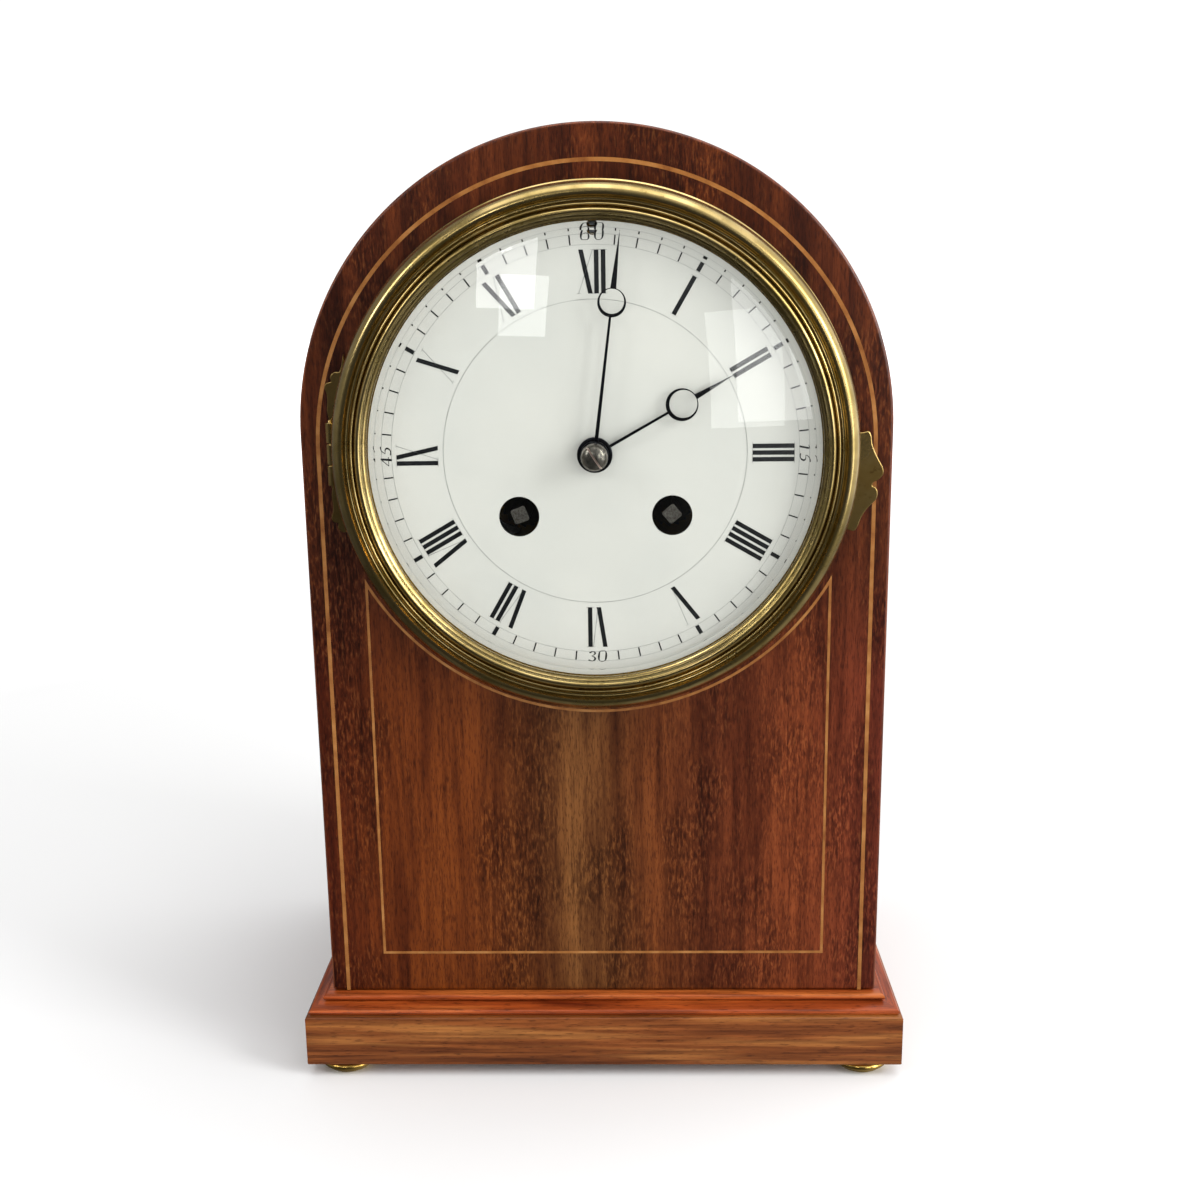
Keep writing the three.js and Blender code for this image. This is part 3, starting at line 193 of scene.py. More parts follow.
def settle(material, body, replaced=(), bevel=0.0, segments=2, smooth=35, bevel_angle=40):
    """Leaves edit mode, eases the edges by a bevel in millimetres, and gives finish and body."""
    piece = bpy.context.object
    if piece.mode == "EDIT":
        outward()
        bpy.ops.object.mode_set(mode="OBJECT")
    bpy.ops.object.transform_apply(location=True, rotation=True, scale=True)
    if bevel:
        bpy.ops.object.modifier_add(type="BEVEL")
        modifier = piece.modifiers[-1]
        modifier.width = bevel * MM
        modifier.segments = segments
        modifier.limit_method = "ANGLE"
        modifier.angle_limit = math.radians(bevel_angle)
        bpy.ops.object.modifier_apply(modifier=modifier.name)
    bpy.ops.object.shade_smooth_by_angle(angle=math.radians(smooth))
    if bevel:
        bpy.ops.object.modifier_add(type="WEIGHTED_NORMAL")
        piece.modifiers[-1].keep_sharp = True
        bpy.ops.object.modifier_apply(modifier=piece.modifiers[-1].name)
    piece.data.name = piece.name
    piece.data.materials.clear()
    piece.data.materials.append(material)
    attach(piece, body)
    if replaced:
        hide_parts(*replaced)
    return piece


def second_finish(piece, material, chosen):
    """Gives a second material to the faces that a test picks."""
    piece.data.materials.append(material)
    for face in piece.data.polygons:
        if chosen(face):
            face.material_index = 1


def looks_sideways(face):
    """Whether a face looks to the left or right."""
    return abs(face.normal.x) > abs(face.normal.y)


def stack(name, centre, half, levels):
    """A rectangular body built up from levels of (overhang beyond the half widths, height)."""
    (first, low), rest = levels[0], levels[1:]
    bpy.ops.object.select_all(action="DESELECT")
    bpy.ops.mesh.primitive_plane_add(size=2, location=(centre[0], centre[1], low))
    bpy.context.object.name = name
    bpy.ops.object.mode_set(mode="EDIT")
    here = [half[0] + first, half[1] + first]
    bpy.ops.transform.resize(value=(here[0], here[1], 1), center_override=(*centre, low))
    for overhang, height in rest:
        bpy.ops.mesh.extrude_region_move(TRANSFORM_OT_translate={"value": (0, 0, height - low)})
        there = [half[0] + overhang, half[1] + overhang]
        shares = [new / old for new, old in zip(there, here)]
        bpy.ops.transform.resize(value=(*shares, 1), center_override=(*centre, height))
        here, low = there, height


block_low, block_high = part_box("base_block")
block_centre = (0, (block_low.y + block_high.y) / 2)
block_half = (block_high.x, (block_high.y - block_low.y) / 2)
ARRIS = 0.35 * MM
FLAT = 1.2 * MM
stack("plinth_block", block_centre, block_half, [
    (-FLAT, block_low.z), (-ARRIS, block_low.z), (0, block_low.z + ARRIS),
    (0, block_high.z - ARRIS), (-ARRIS, block_high.z), (-FLAT, block_high.z),
])
# Planed and polished mahogany shows light brown bands, fine darker fibres and a soft shine
PLINTH_TONES = ("5e2e12", "8c4c20", "aa6c34")
block = settle(long_grain("mahogany_plinth", PLINTH_TONES), "case", ["base_block"],
               smooth=50)
second_finish(block, long_grain("mahogany_plinth_sides", PLINTH_TONES, "y"), looks_sideways)


# ---- base moulding ------------------------------------------------------------------------
# A narrow mahogany moulding runs round the front and sides under the case: a small bead, a
# quirk, and a wider ovolo. It is scraped to shape and stained redder than the plinth.

moulding_low, moulding_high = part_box("base_moulding")
front_low, front_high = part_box("front_board")


def quarter(centre, radii, start, end, steps):
    """Points on part of an ellipse, from one angle to another in degrees."""
    turns = [math.radians(start + (end - start) * i / steps) for i in range(steps + 1)]
    return [(centre[0] + radii[0] * math.cos(t), centre[1] + radii[1] * math.sin(t)) for t in turns]


# The length that is made beyond the back and cut off there
SPARE = 25 * MM
OVERHANG, LIP = 5.6 * MM, 0.35 * MM
BEAD = (1.1 * MM, 0.95 * MM)
OVOLO = (4.6 * MM, 1.75 * MM)
moulding_centre = (0, (front_low.y + moulding_high.y + SPARE) / 2)
moulding_half = (front_high.x, (moulding_high.y + SPARE - front_low.y) / 2)
stack("plinth_moulding", moulding_centre, moulding_half, [
    (0, moulding_low.z), (OVERHANG, moulding_low.z), (OVERHANG, moulding_low.z + LIP),
    *quarter((1.4 * MM, moulding_low.z + 0.55 * MM), OVOLO, 4, 84, 9),
    *quarter((1.3 * MM, moulding_high.z - BEAD[1]), BEAD, -75, 90, 8),
    (0, moulding_high.z),
])
outward()
bpy.ops.mesh.bisect(plane_co=(0, moulding_high.y, 0), plane_no=(0, 1, 0), use_fill=True,
                    clear_outer=True)
# The red stain leaves it brighter than the wood above and below
MOULDING_TONES = ("742a0e", "ac4e1e", "c86c30")
moulding = settle(long_grain("mahogany_moulding", MOULDING_TONES), "case",
                  ["base_moulding"], smooth=40)
second_finish(moulding, long_grain("mahogany_moulding_sides", MOULDING_TONES, "y"), looks_sideways)


# ---- feet ---------------------------------------------------------------------------------
# Four low feet are turned from brass rod, flattened buns with a small flat underneath, each
# screwed up into the plinth. They are lacquered and a little tarnished.


def turn_on_lathe(name, profile, centre, axis="y", steps=96):
    """A body turned about an axis through the centre: its profile is (radius, place on axis)."""
    if axis == "y":
        points = [(centre[0] + r, a, centre[2]) for r, a in profile]
    else:
        points = [(centre[0] + r, centre[1], a) for r, a in profile]
    wire(name, points)
    direction = (0, 1, 0) if axis == "y" else (0, 0, 1)
    bpy.ops.mesh.spin(steps=steps, angle=2 * math.pi, center=centre, axis=direction)


def turned_brass(name, tone, tarnish, rough, ring_mm=0.0, centre=(0, 0, 0)):
    """Turned and polished brass: browner clouds, dull specks, and rings from the tool.

    The rings lie round the centre, 2 pi times ring_mm apart. Real ones are too fine to show.
    """
    material = new_material(name, {"Metallic": 1.0})
    clouds = grained(material, (14, 14, 14), 3, 0.6)
    specks = grained(material, (1.6, 1.6, 1.6), 3, 0.7)
    tint = add(material, "ShaderNodeValToRGB", {"stops": [(0.35, tarnish), (0.62, tone)]}, {0: clouds})
    colour = laid_over(material, tint, specks, [(0.28, "9a8a66"), (0.4, "ffffff")], 0.5)
    feed(material, colour, "Base Color")
    wear = add(material, "ShaderNodeMapRange",
               {"From Min": 0.3, "From Max": 0.7, "To Min": rough * 1.5, "To Max": rough * 0.8},
               {"Value": clouds})
    feed(material, wear, "Roughness")
    if ring_mm:
        place = add(material, "ShaderNodeTexCoord").outputs["Object"]
        shifted = add(material, "ShaderNodeMapping", {"Location": [-c for c in centre]},
                      {"Vector": place})
        rings = add(material, "ShaderNodeTexWave",
                    {"wave_type": "RINGS", "rings_direction": "Y", "Scale": 1 / (20 * ring_mm * MM),
                     "Distortion": 0.6, "Detail": 2.0, "Detail Scale": 4.0},
                    {"Vector": shifted})
        bump = add(material, "ShaderNodeBump", {"Strength": 0.25, "Distance": 0.02 * MM},
                   {"Height": rings.outputs["Fac"]})
        feed(material, bump, "Normal")
    return material


BUN = (1.9 * MM, 1.3 * MM)
WAIST = (0.9 * MM, 0.7 * MM)
feet_brass = turned_brass("turned_brass_feet", "d9b25e", "a07c3c", 0.22)
for corner in ("front_left", "front_right", "rear_left", "rear_right"):
    low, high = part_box(f"foot_{corner}")
    centre = ((low.x + high.x) / 2, (low.y + high.y) / 2, 0)
    radius = (high.x - low.x) / 2
    turn_on_lathe(f"bun_foot_{corner}", [
        (0, high.z), (radius - 2.2 * MM, high.z),
        *quarter((radius - BUN[0], high.z - BUN[1]), BUN, 60, -90, 9),
        *quarter((radius - 2.4 * MM, WAIST[1]), WAIST, 40, -90, 5), (0, 0),
    ], centre, "z", 64)
    settle(feet_brass, "case", [f"foot_{corner}"])


# ---- case shell ---------------------------------------------------------------------------
# The carcase is a box of thin mahogany with a bent, veneered top, open at the front and back.
# Its veneer runs up one side, over the arch and down the other, French polished.

shell_low, shell_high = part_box("case_shell")
HALF = front_high.x
ARCH_CENTRE = front_high.z - HALF
WALL = 8 * MM


def arch(half, low, centre_height, depth, steps=72):
    """The corners of a round-topped outline that stands on a straight foot."""
    points = [(-half, depth, low), (half, depth, low)]
    for i in range(steps + 1):
        turn = math.pi * i / steps
        points.append((half * math.cos(turn), depth, centre_height + half * math.sin(turn)))
    return points + points[:1]


def cut_out(points):
    """Draws a second closed outline into the piece that is open in edit mode."""
    bpy.ops.mesh.select_all(action="DESELECT")
    bpy.ops.mesh.primitive_plane_add(size=MM, location=points[0])
    trail(points)


def sheet_between(near, far):
    """Fills the flat outlines that are open in edit mode and gives them their thickness."""
    bpy.ops.mesh.select_all(action="SELECT")
    bpy.ops.mesh.remove_doubles(threshold=0.001 * MM)
    bpy.ops.mesh.fill(use_beauty=True)
    bpy.ops.mesh.select_all(action="SELECT")
    bpy.ops.mesh.extrude_region_move(TRANSFORM_OT_translate={"value": (0, far - near, 0)})


def over_the_arch(material):
    """The place along grain that climbs the sides and bends over the arch."""
    split = add(material, "ShaderNodeSeparateXYZ",
                links={0: add(material, "ShaderNodeTexCoord").outputs["Object"]})
    above = add(material, "ShaderNodeMath", {"operation": "SUBTRACT", 1: ARCH_CENTRE},
                {0: split.outputs["Z"]})
    above = add(material, "ShaderNodeMath", {"operation": "MAXIMUM", 1: 0.0}, {0: above})
    aside = add(material, "ShaderNodeMath", {"operation": "ABSOLUTE"}, {0: split.outputs["X"]})
    turn = add(material, "ShaderNodeMath", {"operation": "ARCTAN2"}, {0: above, 1: aside})
    upright = add(material, "ShaderNodeMath", {"operation": "MINIMUM", 1: ARCH_CENTRE},
                  {0: split.outputs["Z"]})
    run = add(material, "ShaderNodeMath", {"operation": "MULTIPLY_ADD", 1: HALF}, {0: turn, 2: upright})
    outwards = add(material, "ShaderNodeVectorMath", {"operation": "LENGTH"},
                   {0: add(material, "ShaderNodeCombineXYZ", links={0: aside, 1: above})})
    return add(material, "ShaderNodeCombineXYZ",
               links={0: outwards.outputs["Value"], 1: split.outputs["Y"], 2: run})


wire("case_carcase", arch(HALF, shell_low.z, ARCH_CENTRE, shell_low.y))
cut_out(arch(HALF - WALL, shell_low.z + WALL, ARCH_CENTRE, shell_low.y))
sheet_between(shell_low.y, shell_high.y)
# The side veneer is dark red-brown, in streaks that follow the bend
shell_wood = long_grain("mahogany_veneer_sides", ("471a0b", "6b2c14", "84411f"), "z", over_the_arch)
settle(shell_wood, "case", ["case_shell"], bevel=0.5, smooth=25)


# ---- back board ---------------------------------------------------------------------------
# The back is one board set into a rebate of the carcase, with a round hole for the movement.
# It is plain mahogany, stained dark and polished more thinly than the front.

back_low, back_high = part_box("back_board")
dial_low, dial_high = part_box("dial_plate")
DIAL_Z = (dial_low.z + dial_high.z) / 2
REAR_HOLE = 54.9 * MM


def ring_of(radius, centre, depth, steps=128):
    """The corners of a closed circle that faces along y."""
    turns = [2 * math.pi * i / steps for i in range(steps)] + [0]
    return [(centre[0] + radius * math.cos(t), depth, centre[1] + radius * math.sin(t)) for t in turns]


wire("back_panel", arch(back_high.x, back_low.z, back_high.z - back_high.x, back_low.y))
cut_out(ring_of(REAR_HOLE, (0, DIAL_Z), back_low.y))
sheet_between(back_low.y, back_high.y)
back_wood = long_grain("mahogany_back", ("43190b", "5e2a14", "753a1e"), "z")
settle(back_wood, "case", ["back_board"], bevel=0.3, smooth=25)


# ---- front board --------------------------------------------------------------------------
# The front is faced with one leaf of figured mahogany veneer, its grain upright: red-brown
# streaks, with darker mottled flecks and an olive stripe near the middle, under French polish.

FRONT_HOLE = 59.5 * MM
FRONT_ARRIS = 0.9

# Tones of the veneer's stripes from the left edge to the right, at their places in millimetres
VENEER_REACH = 76
VENEER_STRIPES = [
    (-76, "602204"), (-56, "783807"), (-34, "7e3e0c"), (-20, "6d3a12"), (-8, "88582a"), (5, "683a16"),
    (17, "7e4218"), (31, "683012"), (56, "8c431c"), (76, "722e1a"),
]


def striped_ground(material):
    """The stripes of the panel, which give way to plainer streaks between two heights."""
    split = add(material, "ShaderNodeSeparateXYZ",
                links={0: add(material, "ShaderNodeTexCoord").outputs["Object"]})
    sway = add(material, "ShaderNodeMath", {"operation": "MULTIPLY_ADD", 1: 0.10, 2: -0.05},
               {0: grained(material, (40, 40, 90), 2, 0.5)})
    across = add(material, "ShaderNodeMapRange",
                 {"From Min": -VENEER_REACH * MM, "From Max": VENEER_REACH * MM},
                 {"Value": split.outputs["X"]})
    across = add(material, "ShaderNodeMath", {"operation": "ADD"}, {0: across, 1: sway})
    stops = [((at + VENEER_REACH) / (2 * VENEER_REACH), tone) for at, tone in VENEER_STRIPES]
    stripes = add(material, "ShaderNodeValToRGB", {"stops": stops}, {0: across})
    height = add(material, "ShaderNodeMapRange", {"From Min": 112 * MM, "From Max": 150 * MM},
                 {"Value": split.outputs["Z"]})
    return laid_over(material, stripes, grained(material, (7, 40, 120), 4, 0.55, 0.4),
                     [(0.3, "401804"), (0.5, "5c290b"), (0.7, "733715")], height, "MIX")


def front_veneer():
    """Figured mahogany: fibres, broad waves, patches of dark flecks, bright flecks added as a painted sheen
    of the figure, and pores.
    """
    material = new_material("mahogany_veneer_front")
    colour = laid_over(material, striped_ground(material),
                       grained(material, (1.1, 20, 26), 5, 0.65, 0.3),
                       [(0.3, "9c8a80"), (0.5, "e6ddd6"), (0.68, "ffffff")], 0.85)
    colour = laid_over(material, colour, grained(material, (5, 30, 60), 3, 0.5, 0.5),
                       [(0.34, "a88f82"), (0.6, "ffffff")], 0.7)
    patches = add(material, "ShaderNodeValToRGB", {"stops": [(0.4, "303030"), (0.64, "ffffff")]},
                  {0: grained(material, (15, 30, 38), 2, 0.5, 0.6)})
    flecks = grained(material, (0.62, 6, 2.6), 2, 0.6, 0.5)
    dark = add(material, "ShaderNodeMath", {"operation": "MULTIPLY", 1: 0.7}, {0: patches})
    colour = laid_over(material, colour, flecks, [(0.4, "7c6658"), (0.58, "ffffff")], dark)
    # The bright flecks are a painted sheen of the figure, added where the patches are
    bright = add(material, "ShaderNodeMath", {"operation": "MULTIPLY", 1: 0.42}, {0: patches})
    colour = laid_over(material, colour, flecks, [(0.54, "000000"), (0.7, "6b4722")], bright, "ADD")
    pores = grained(material, (0.3, 4, 2.4), 2, 0.6)
    colour = laid_over(material, colour, pores, [(0.34, "8e786a"), (0.5, "ffffff")], 0.7)
    feed(material, colour, "Base Color")
    polish(material, pores, 0.05, 0.3)
    return material


def on_rounded_edge(face):
    """Whether a face is on the outer edge of the front, where solid wood shows, with lighter tones as a
    painted highlight.
    """
    outer = math.hypot(face.center.x, max(face.center.z - ARCH_CENTRE, 0)) > HALF - 1.2 * MM
    return outer and face.center.y > front_low.y + 0.05 * MM


wire("front_panel", arch(HALF, front_low.z, ARCH_CENTRE, front_low.y, 96))
cut_out(ring_of(FRONT_HOLE, (0, DIAL_Z), front_low.y))
sheet_between(front_low.y, front_high.y)
front_panel = settle(front_veneer(), "case", ["front_board"], bevel=FRONT_ARRIS,
                     segments=4, smooth=30)
# The outer edge is solid wood, given lighter tones than the sides as a painted highlight along the rounded
# arris
edge_wood_and_highlight = long_grain("mahogany_edge_and_painted_highlight", ("52200c", "703417", "864828"), "z")
second_finish(front_panel, edge_wood_and_highlight, on_rounded_edge)


# ---- stringing ----------------------------------------------------------------------------
# Two lines of boxwood are let into the veneer: one follows the outline of the front, and one
# frames the panel under the dial. They are scraped flush and polished over.


def plain_finish(name, grain, stops, settings=()):
    """A finish of nearly one tone, its stops laid over noise of (size in mm, detail, roughness)."""
    material = new_material(name, settings)
    tone = add(material, "ShaderNodeValToRGB", {"stops": stops}, {0: grained(material, *grain)})
    feed(material, tone, "Base Color")
    return material


# Boxwood under old polish is a dull honey brown with hardly any grain
boxwood = plain_finish("boxwood_line", ((6, 6, 6), 4, 0.6),
                       [(0.3, "7c481e"), (0.5, "99632f"), (0.72, "b07b44")])
polish(boxwood, grained(boxwood, (0.6, 0.6, 0.6), 2), 0.03, 0.32)

PROUD = 0.03 * MM
OUTER_LINE = 1.0 * MM
OUTER_LINE_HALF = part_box("outer_stringing")[1].x


def line_outline(half, width, low, depth):
    """The outline of a line that climbs one side, follows the arch and comes down the other."""
    outside = arch(half, low, DIAL_Z, depth, 96)[1:-1]
    inside = arch(half - width, low, DIAL_Z, depth, 96)[1:-1]
    points = outside + [(-half, depth, low), (width - half, depth, low)] + inside[::-1]
    return points + points[:1]


wire("outer_line_of_stringing",
     line_outline(OUTER_LINE_HALF, OUTER_LINE, front_low.z + 0.1 * MM, front_low.y - PROUD))
sheet_between(front_low.y - PROUD, front_low.y + PROUD)
settle(boxwood, "case", ["outer_stringing"], smooth=25)

panel_low, panel_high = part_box("inner_stringing")
INNER_LINE = 0.7 * MM
INNER_ARC = 70 * MM


def panel_outline(inset, depth, steps=64):
    """The panel's outline: upright sides and a hollow top that follows the bezel."""
    half = panel_high.x - inset
    low = panel_low.z + inset
    radius = INNER_ARC - INNER_LINE / 2 + inset
    shoulder = math.asin(half / radius)
    turns = [-math.pi / 2 + shoulder - 2 * shoulder * i / steps for i in range(steps + 1)]
    top = [(radius * math.cos(t), depth, DIAL_Z + radius * math.sin(t)) for t in turns]
    points = [(-half, depth, low), (half, depth, low), *top]
    return points + points[:1]


wire("panel_line_of_stringing", panel_outline(0, front_low.y - PROUD))
cut_out(panel_outline(INNER_LINE, front_low.y - PROUD))
sheet_between(front_low.y - PROUD, front_low.y + PROUD)
settle(boxwood, "case", ["inner_stringing"], smooth=25)


# ---- dial ring ----------------------------------------------------------------------------
# A spun brass ring is let into the front board behind the bezel. Its flange lies on the wood,
# its tube holds the movement, and its ledge carries the dial.

ring_centre = (0, 0, DIAL_Z)
SHEET = 1 * MM
LEDGE_HOLE = 36 * MM
TUBE = 59.2 * MM
TUBE_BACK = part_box("dial_ring")[0].y + 16.5 * MM
FLANGE = 66.6 * MM
flange_back = front_low.y - 0.3 * MM
flange_front = flange_back - 1.2 * MM
ledge_front = dial_high.y + 0.3 * MM
spun_brass = turned_brass("spun_brass_ring", "cfa955", "a98442", 0.2, 0.5, ring_centre)
turn_on_lathe("dial_mounting_ring", [
    (LEDGE_HOLE, ledge_front), (TUBE - 0.4 * MM, ledge_front), (TUBE, ledge_front + 0.4 * MM),
    (TUBE, flange_front), (FLANGE - 0.4 * MM, flange_front), (FLANGE, flange_front + 0.4 * MM),
    (FLANGE, flange_back), (TUBE, flange_back), (TUBE, TUBE_BACK), (TUBE - SHEET, TUBE_BACK),
    (TUBE - SHEET, ledge_front + SHEET), (LEDGE_HOLE, ledge_front + SHEET), (LEDGE_HOLE, ledge_front),
], ring_centre, steps=192)
settle(spun_brass, "case", ["dial_ring"])


# ---- dial ---------------------------------------------------------------------------------
# The dial is a flat copper disc fired with white enamel. The holes for the hands, the winding
# squares and the regulator are cut through it, and their edges are black.

WINDING = (19.4 * MM, -15.7 * MM)
WINDING_HOLE = 5.1 * MM
HAND_HOLE = 3.2 * MM
REGULATOR = (0, 54.5 * MM)
REGULATOR_HOLE = 1.3 * MM
dial_radius = dial_high.x


def in_a_hole(face):
    """Whether a face of the dial is in the wall of a hole."""
    inner = math.hypot(face.center.x, face.center.z - DIAL_Z) < dial_radius - 0.5 * MM
    return inner and abs(face.normal.y) < 0.5


wire("enamel_dial", ring_of(dial_radius, (0, DIAL_Z), dial_low.y, 192))
for x, z, radius in ((*WINDING, WINDING_HOLE), (-WINDING[0], WINDING[1], WINDING_HOLE),
                     (0, 0, HAND_HOLE), (*REGULATOR, REGULATOR_HOLE)):
    cut_out(ring_of(radius, (x, DIAL_Z + z), dial_low.y, 64))
sheet_between(dial_low.y, dial_high.y)
# Fired enamel is cool white, glossy, and slightly rippled like thick glass
enamel = plain_finish("fired_enamel", ((30, 30, 30), 3, 0.5), [(0.3, "cfcfc9"), (0.7, "d7d6cf")],
                      {"Roughness": 0.18, "IOR": 1.55, "Coat Weight": 0.3, "Coat Roughness": 0.05})
ripple = add(enamel, "ShaderNodeBump", {"Strength": 0.15, "Distance": 0.05 * MM},
             {"Height": grained(enamel, (5, 5, 5), 2, 0.5)})
feed(enamel, ripple, "Normal")
dial = settle(enamel, "case", ["dial_plate"], smooth=30)
hole_edge = plain_finish("black_hole_edge", ((2, 2, 2), 2, 0.5), [(0.3, "080706"), (0.7, "16120f")])
second_finish(dial, hole_edge, in_a_hole)


# ---- dial figures -------------------------------------------------------------------------
# The hours, the minute track and its figures are painted in black enamel and fired. The thick
# strokes stand a hair proud of the white ground, as fired paint does.

# Fired paint is black and glossy; the hairlines are so thin that the white shows through as grey
black_enamel = plain_finish("black_fired_paint", ((2, 2, 2), 2, 0.5), [(0.3, "0b0c0e"), (0.7, "16181b")],
                            {"Roughness": 0.28, "IOR": 1.5, "Specular IOR Level": 0.3})
hair_paint = plain_finish("grey_fired_hairline", ((3, 3, 3), 3, 0.6), [(0.3, "7c7e7a"), (0.7, "a6a8a3")],
                          {"Roughness": 0.3})

PAINT = 0.04 * MM
STROKE = 1.12 * MM
HAIR = 0.16 * MM
SERIF = 0.42 * MM
SERIF_THICK = 0.09 * MM
CHAPTER_INNER, CHAPTER_OUTER = 39.4 * MM, 49.8 * MM
MINUTE_INNER, MINUTE_OUTER = 51.0 * MM, 53.5 * MM
INNER_CIRCLE = 38.1 * MM
face_y = dial_low.y


def laid_down():
    """Leaves edit mode with the faces turned outwards and the piece's place in its mesh."""
    outward()
    bpy.ops.object.mode_set(mode="OBJECT")
    bpy.ops.object.transform_apply(location=True, rotation=True, scale=True)
    return bpy.context.object


def flat_piece(name, points, near, far):
    """A flat piece from an outline of (x, z) points, between two depths."""
    wire(name, [(x, near, z) for x, z in points + points[:1]])
    bpy.ops.mesh.remove_doubles(threshold=0.0001 * MM)
    bpy.ops.mesh.edge_face_add()
    bpy.ops.mesh.extrude_region_move(TRANSFORM_OT_translate={"value": (0, far - near, 0)})
    return laid_down()


def stroke(foot, head, half, low, high, material):
    """One flat stroke of paint, its middle at one x at its foot and another at its head."""
    points = [(foot - half, low), (foot + half, low), (head + half, high), (head - half, high)]
    piece = flat_piece("stroke", points, face_y - PAINT, face_y)
    piece.data.materials.append(material)
    return piece


def thick(foot, head=None):
    """A thick stroke of a Roman letter, leaning from its foot to its head."""
    return stroke(foot, foot if head is None else head, STROKE / 2, CHAPTER_INNER, CHAPTER_OUTER,
                  black_enamel)


def thin(foot, head):
    """A hairline stroke of a Roman letter."""
    return stroke(foot, head, HAIR / 2, CHAPTER_INNER, CHAPTER_OUTER, hair_paint)


def serif(x, half, at_foot=False):
    """A hairline serif across the foot or the head of a letter."""
    low = CHAPTER_INNER if at_foot else CHAPTER_OUTER - SERIF_THICK
    return stroke(x, x, half, low, low + SERIF_THICK, hair_paint)


def merged(pieces, name):
    """Joins pieces into one named object."""
    bpy.ops.object.select_all(action="DESELECT")
    for piece in pieces:
        piece.select_set(True)
    bpy.context.view_layer.objects.active = pieces[0]
    bpy.ops.object.join()
    bpy.context.object.name = name
    return bpy.context.object


def copied(piece, matrix):
    """A copy of a piece with its own mesh, moved by a matrix."""
    twin = piece.copy()
    twin.data = piece.data.copy()
    twin.data.transform(matrix)
    bpy.context.collection.objects.link(twin)
    return twin


# Letters of the Roman hours about x = 0, with the room that each takes
THIN_HALF = 0.5 * MM
I_HALF = STROKE / 2 + SERIF
letter_i = merged([thick(0), serif(0, I_HALF, True), serif(0, I_HALF)], "letter_i")
letter_v = merged([thick(0.35 * MM, -1.25 * MM), thin(0.55 * MM, 1.85 * MM),
                   serif(1.85 * MM, THIN_HALF)], "letter_v")
letter_x = merged([thick(1.15 * MM, -1.15 * MM), thin(-1.75 * MM, 1.75 * MM),
                   serif(-1.75 * MM, THIN_HALF, True), serif(1.75 * MM, THIN_HALF)], "letter_x")
LETTERS = {"I": (letter_i, 1.68 * MM), "V": (letter_v, 3.5 * MM), "X": (letter_x, 3.6 * MM)}
HOURS = ("XII", "I", "II", "III", "IIII", "V", "VI", "VII", "VIII", "IX", "X", "XI")


def on_dial(turn, x=0.0):
    """Moves a mark by x and turns it clockwise about the middle of the dial."""
    about = Matrix.Translation((0, 0, DIAL_Z))
    return about @ Matrix.Rotation(turn, 4, "Y") @ Matrix.Translation((x, 0, 0))


marks = []
for hour, numeral in enumerate(HOURS):
    at = -sum(LETTERS[letter][1] for letter in numeral) / 2
    for letter in numeral:
        glyph, advance = LETTERS[letter]
        marks.append(copied(glyph, on_dial(hour * math.pi / 6, at + advance / 2)))
        at += advance

tick = stroke(0, 0, 0.17 * MM, MINUTE_INNER + 0.1 * MM, MINUTE_OUTER - 0.1 * MM, black_enamel)
dash = stroke(0, 0, 0.52 * MM, MINUTE_INNER + 0.15 * MM, MINUTE_OUTER - 0.05 * MM, black_enamel)
for minute in range(60):
    if minute % 15:
        marks.append(copied(tick if minute % 5 else dash, on_dial(minute * math.pi / 30)))
for spare in (letter_i, letter_v, letter_x, tick, dash):
    bpy.data.objects.remove(spare)

for radius, width in ((INNER_CIRCLE, 0.13 * MM), (MINUTE_INNER, 0.08 * MM), (MINUTE_OUTER, 0.08 * MM)):
    inner, outer = radius - width / 2, radius + width / 2
    turn_on_lathe("circle_line", [
        (inner, face_y), (inner, face_y - PAINT), (outer, face_y - PAINT), (outer, face_y),
        (inner, face_y),
    ], ring_centre, steps=192)
    marks.append(laid_down())
    marks[-1].data.materials.append(hair_paint)

# The minute figures: each digit is a few pen strokes of (x, height, width) in shares of its height
DIGITS = {
    "0": [[(0.28, 0, 0.05), (0.07, 0.02, 0.06), (0.03, 0.5, 0.16), (0.07, 0.98, 0.06), (0.28, 1, 0.05),
           (0.49, 0.98, 0.06), (0.53, 0.5, 0.16), (0.49, 0.02, 0.06), (0.28, 0, 0.05)]],
    "1": [[(0.12, 0.78, 0.03), (0.34, 1, 0.1), (0.3, 0.5, 0.14), (0.26, 0, 0.12)]],
    "3": [[(0.08, 0.8, 0.12), (0.28, 1, 0.06), (0.48, 0.8, 0.13), (0.36, 0.58, 0.06), (0.22, 0.52, 0.04)],
          [(0.22, 0.52, 0.04), (0.46, 0.42, 0.1), (0.48, 0.16, 0.14), (0.26, 0, 0.06), (0.04, 0.16, 0.12)]],
    "4": [[(0.42, 1, 0.07), (0.42, 1, 0.07), (0.02, 0.3, 0.05), (0.02, 0.3, 0.05), (0.6, 0.3, 0.07)],
          [(0.42, 1, 0.12), (0.42, 0.5, 0.16), (0.42, 0, 0.14)]],
    "5": [[(0.54, 0.98, 0.1), (0.18, 0.96, 0.08), (0.12, 0.56, 0.04)],
          [(0.12, 0.56, 0.04), (0.36, 0.62, 0.08), (0.5, 0.36, 0.14), (0.3, 0.02, 0.06), (0.04, 0.12, 0.12)]],
    "6": [[(0.5, 0.86, 0.13), (0.42, 1.0, 0.07), (0.14, 0.98, 0.06), (0.03, 0.5, 0.16), (0.06, 0.02, 0.07),
           (0.28, 0, 0.05), (0.5, 0.02, 0.06), (0.54, 0.3, 0.14), (0.46, 0.58, 0.06), (0.2, 0.58, 0.04),
           (0.07, 0.4, 0.04)]],
}
DIGIT_HEIGHT = 2.8 * MM
DIGIT_BREADTH = 1.4
DIGIT_MIDDLE = 0.28
SLOPE = 0.06


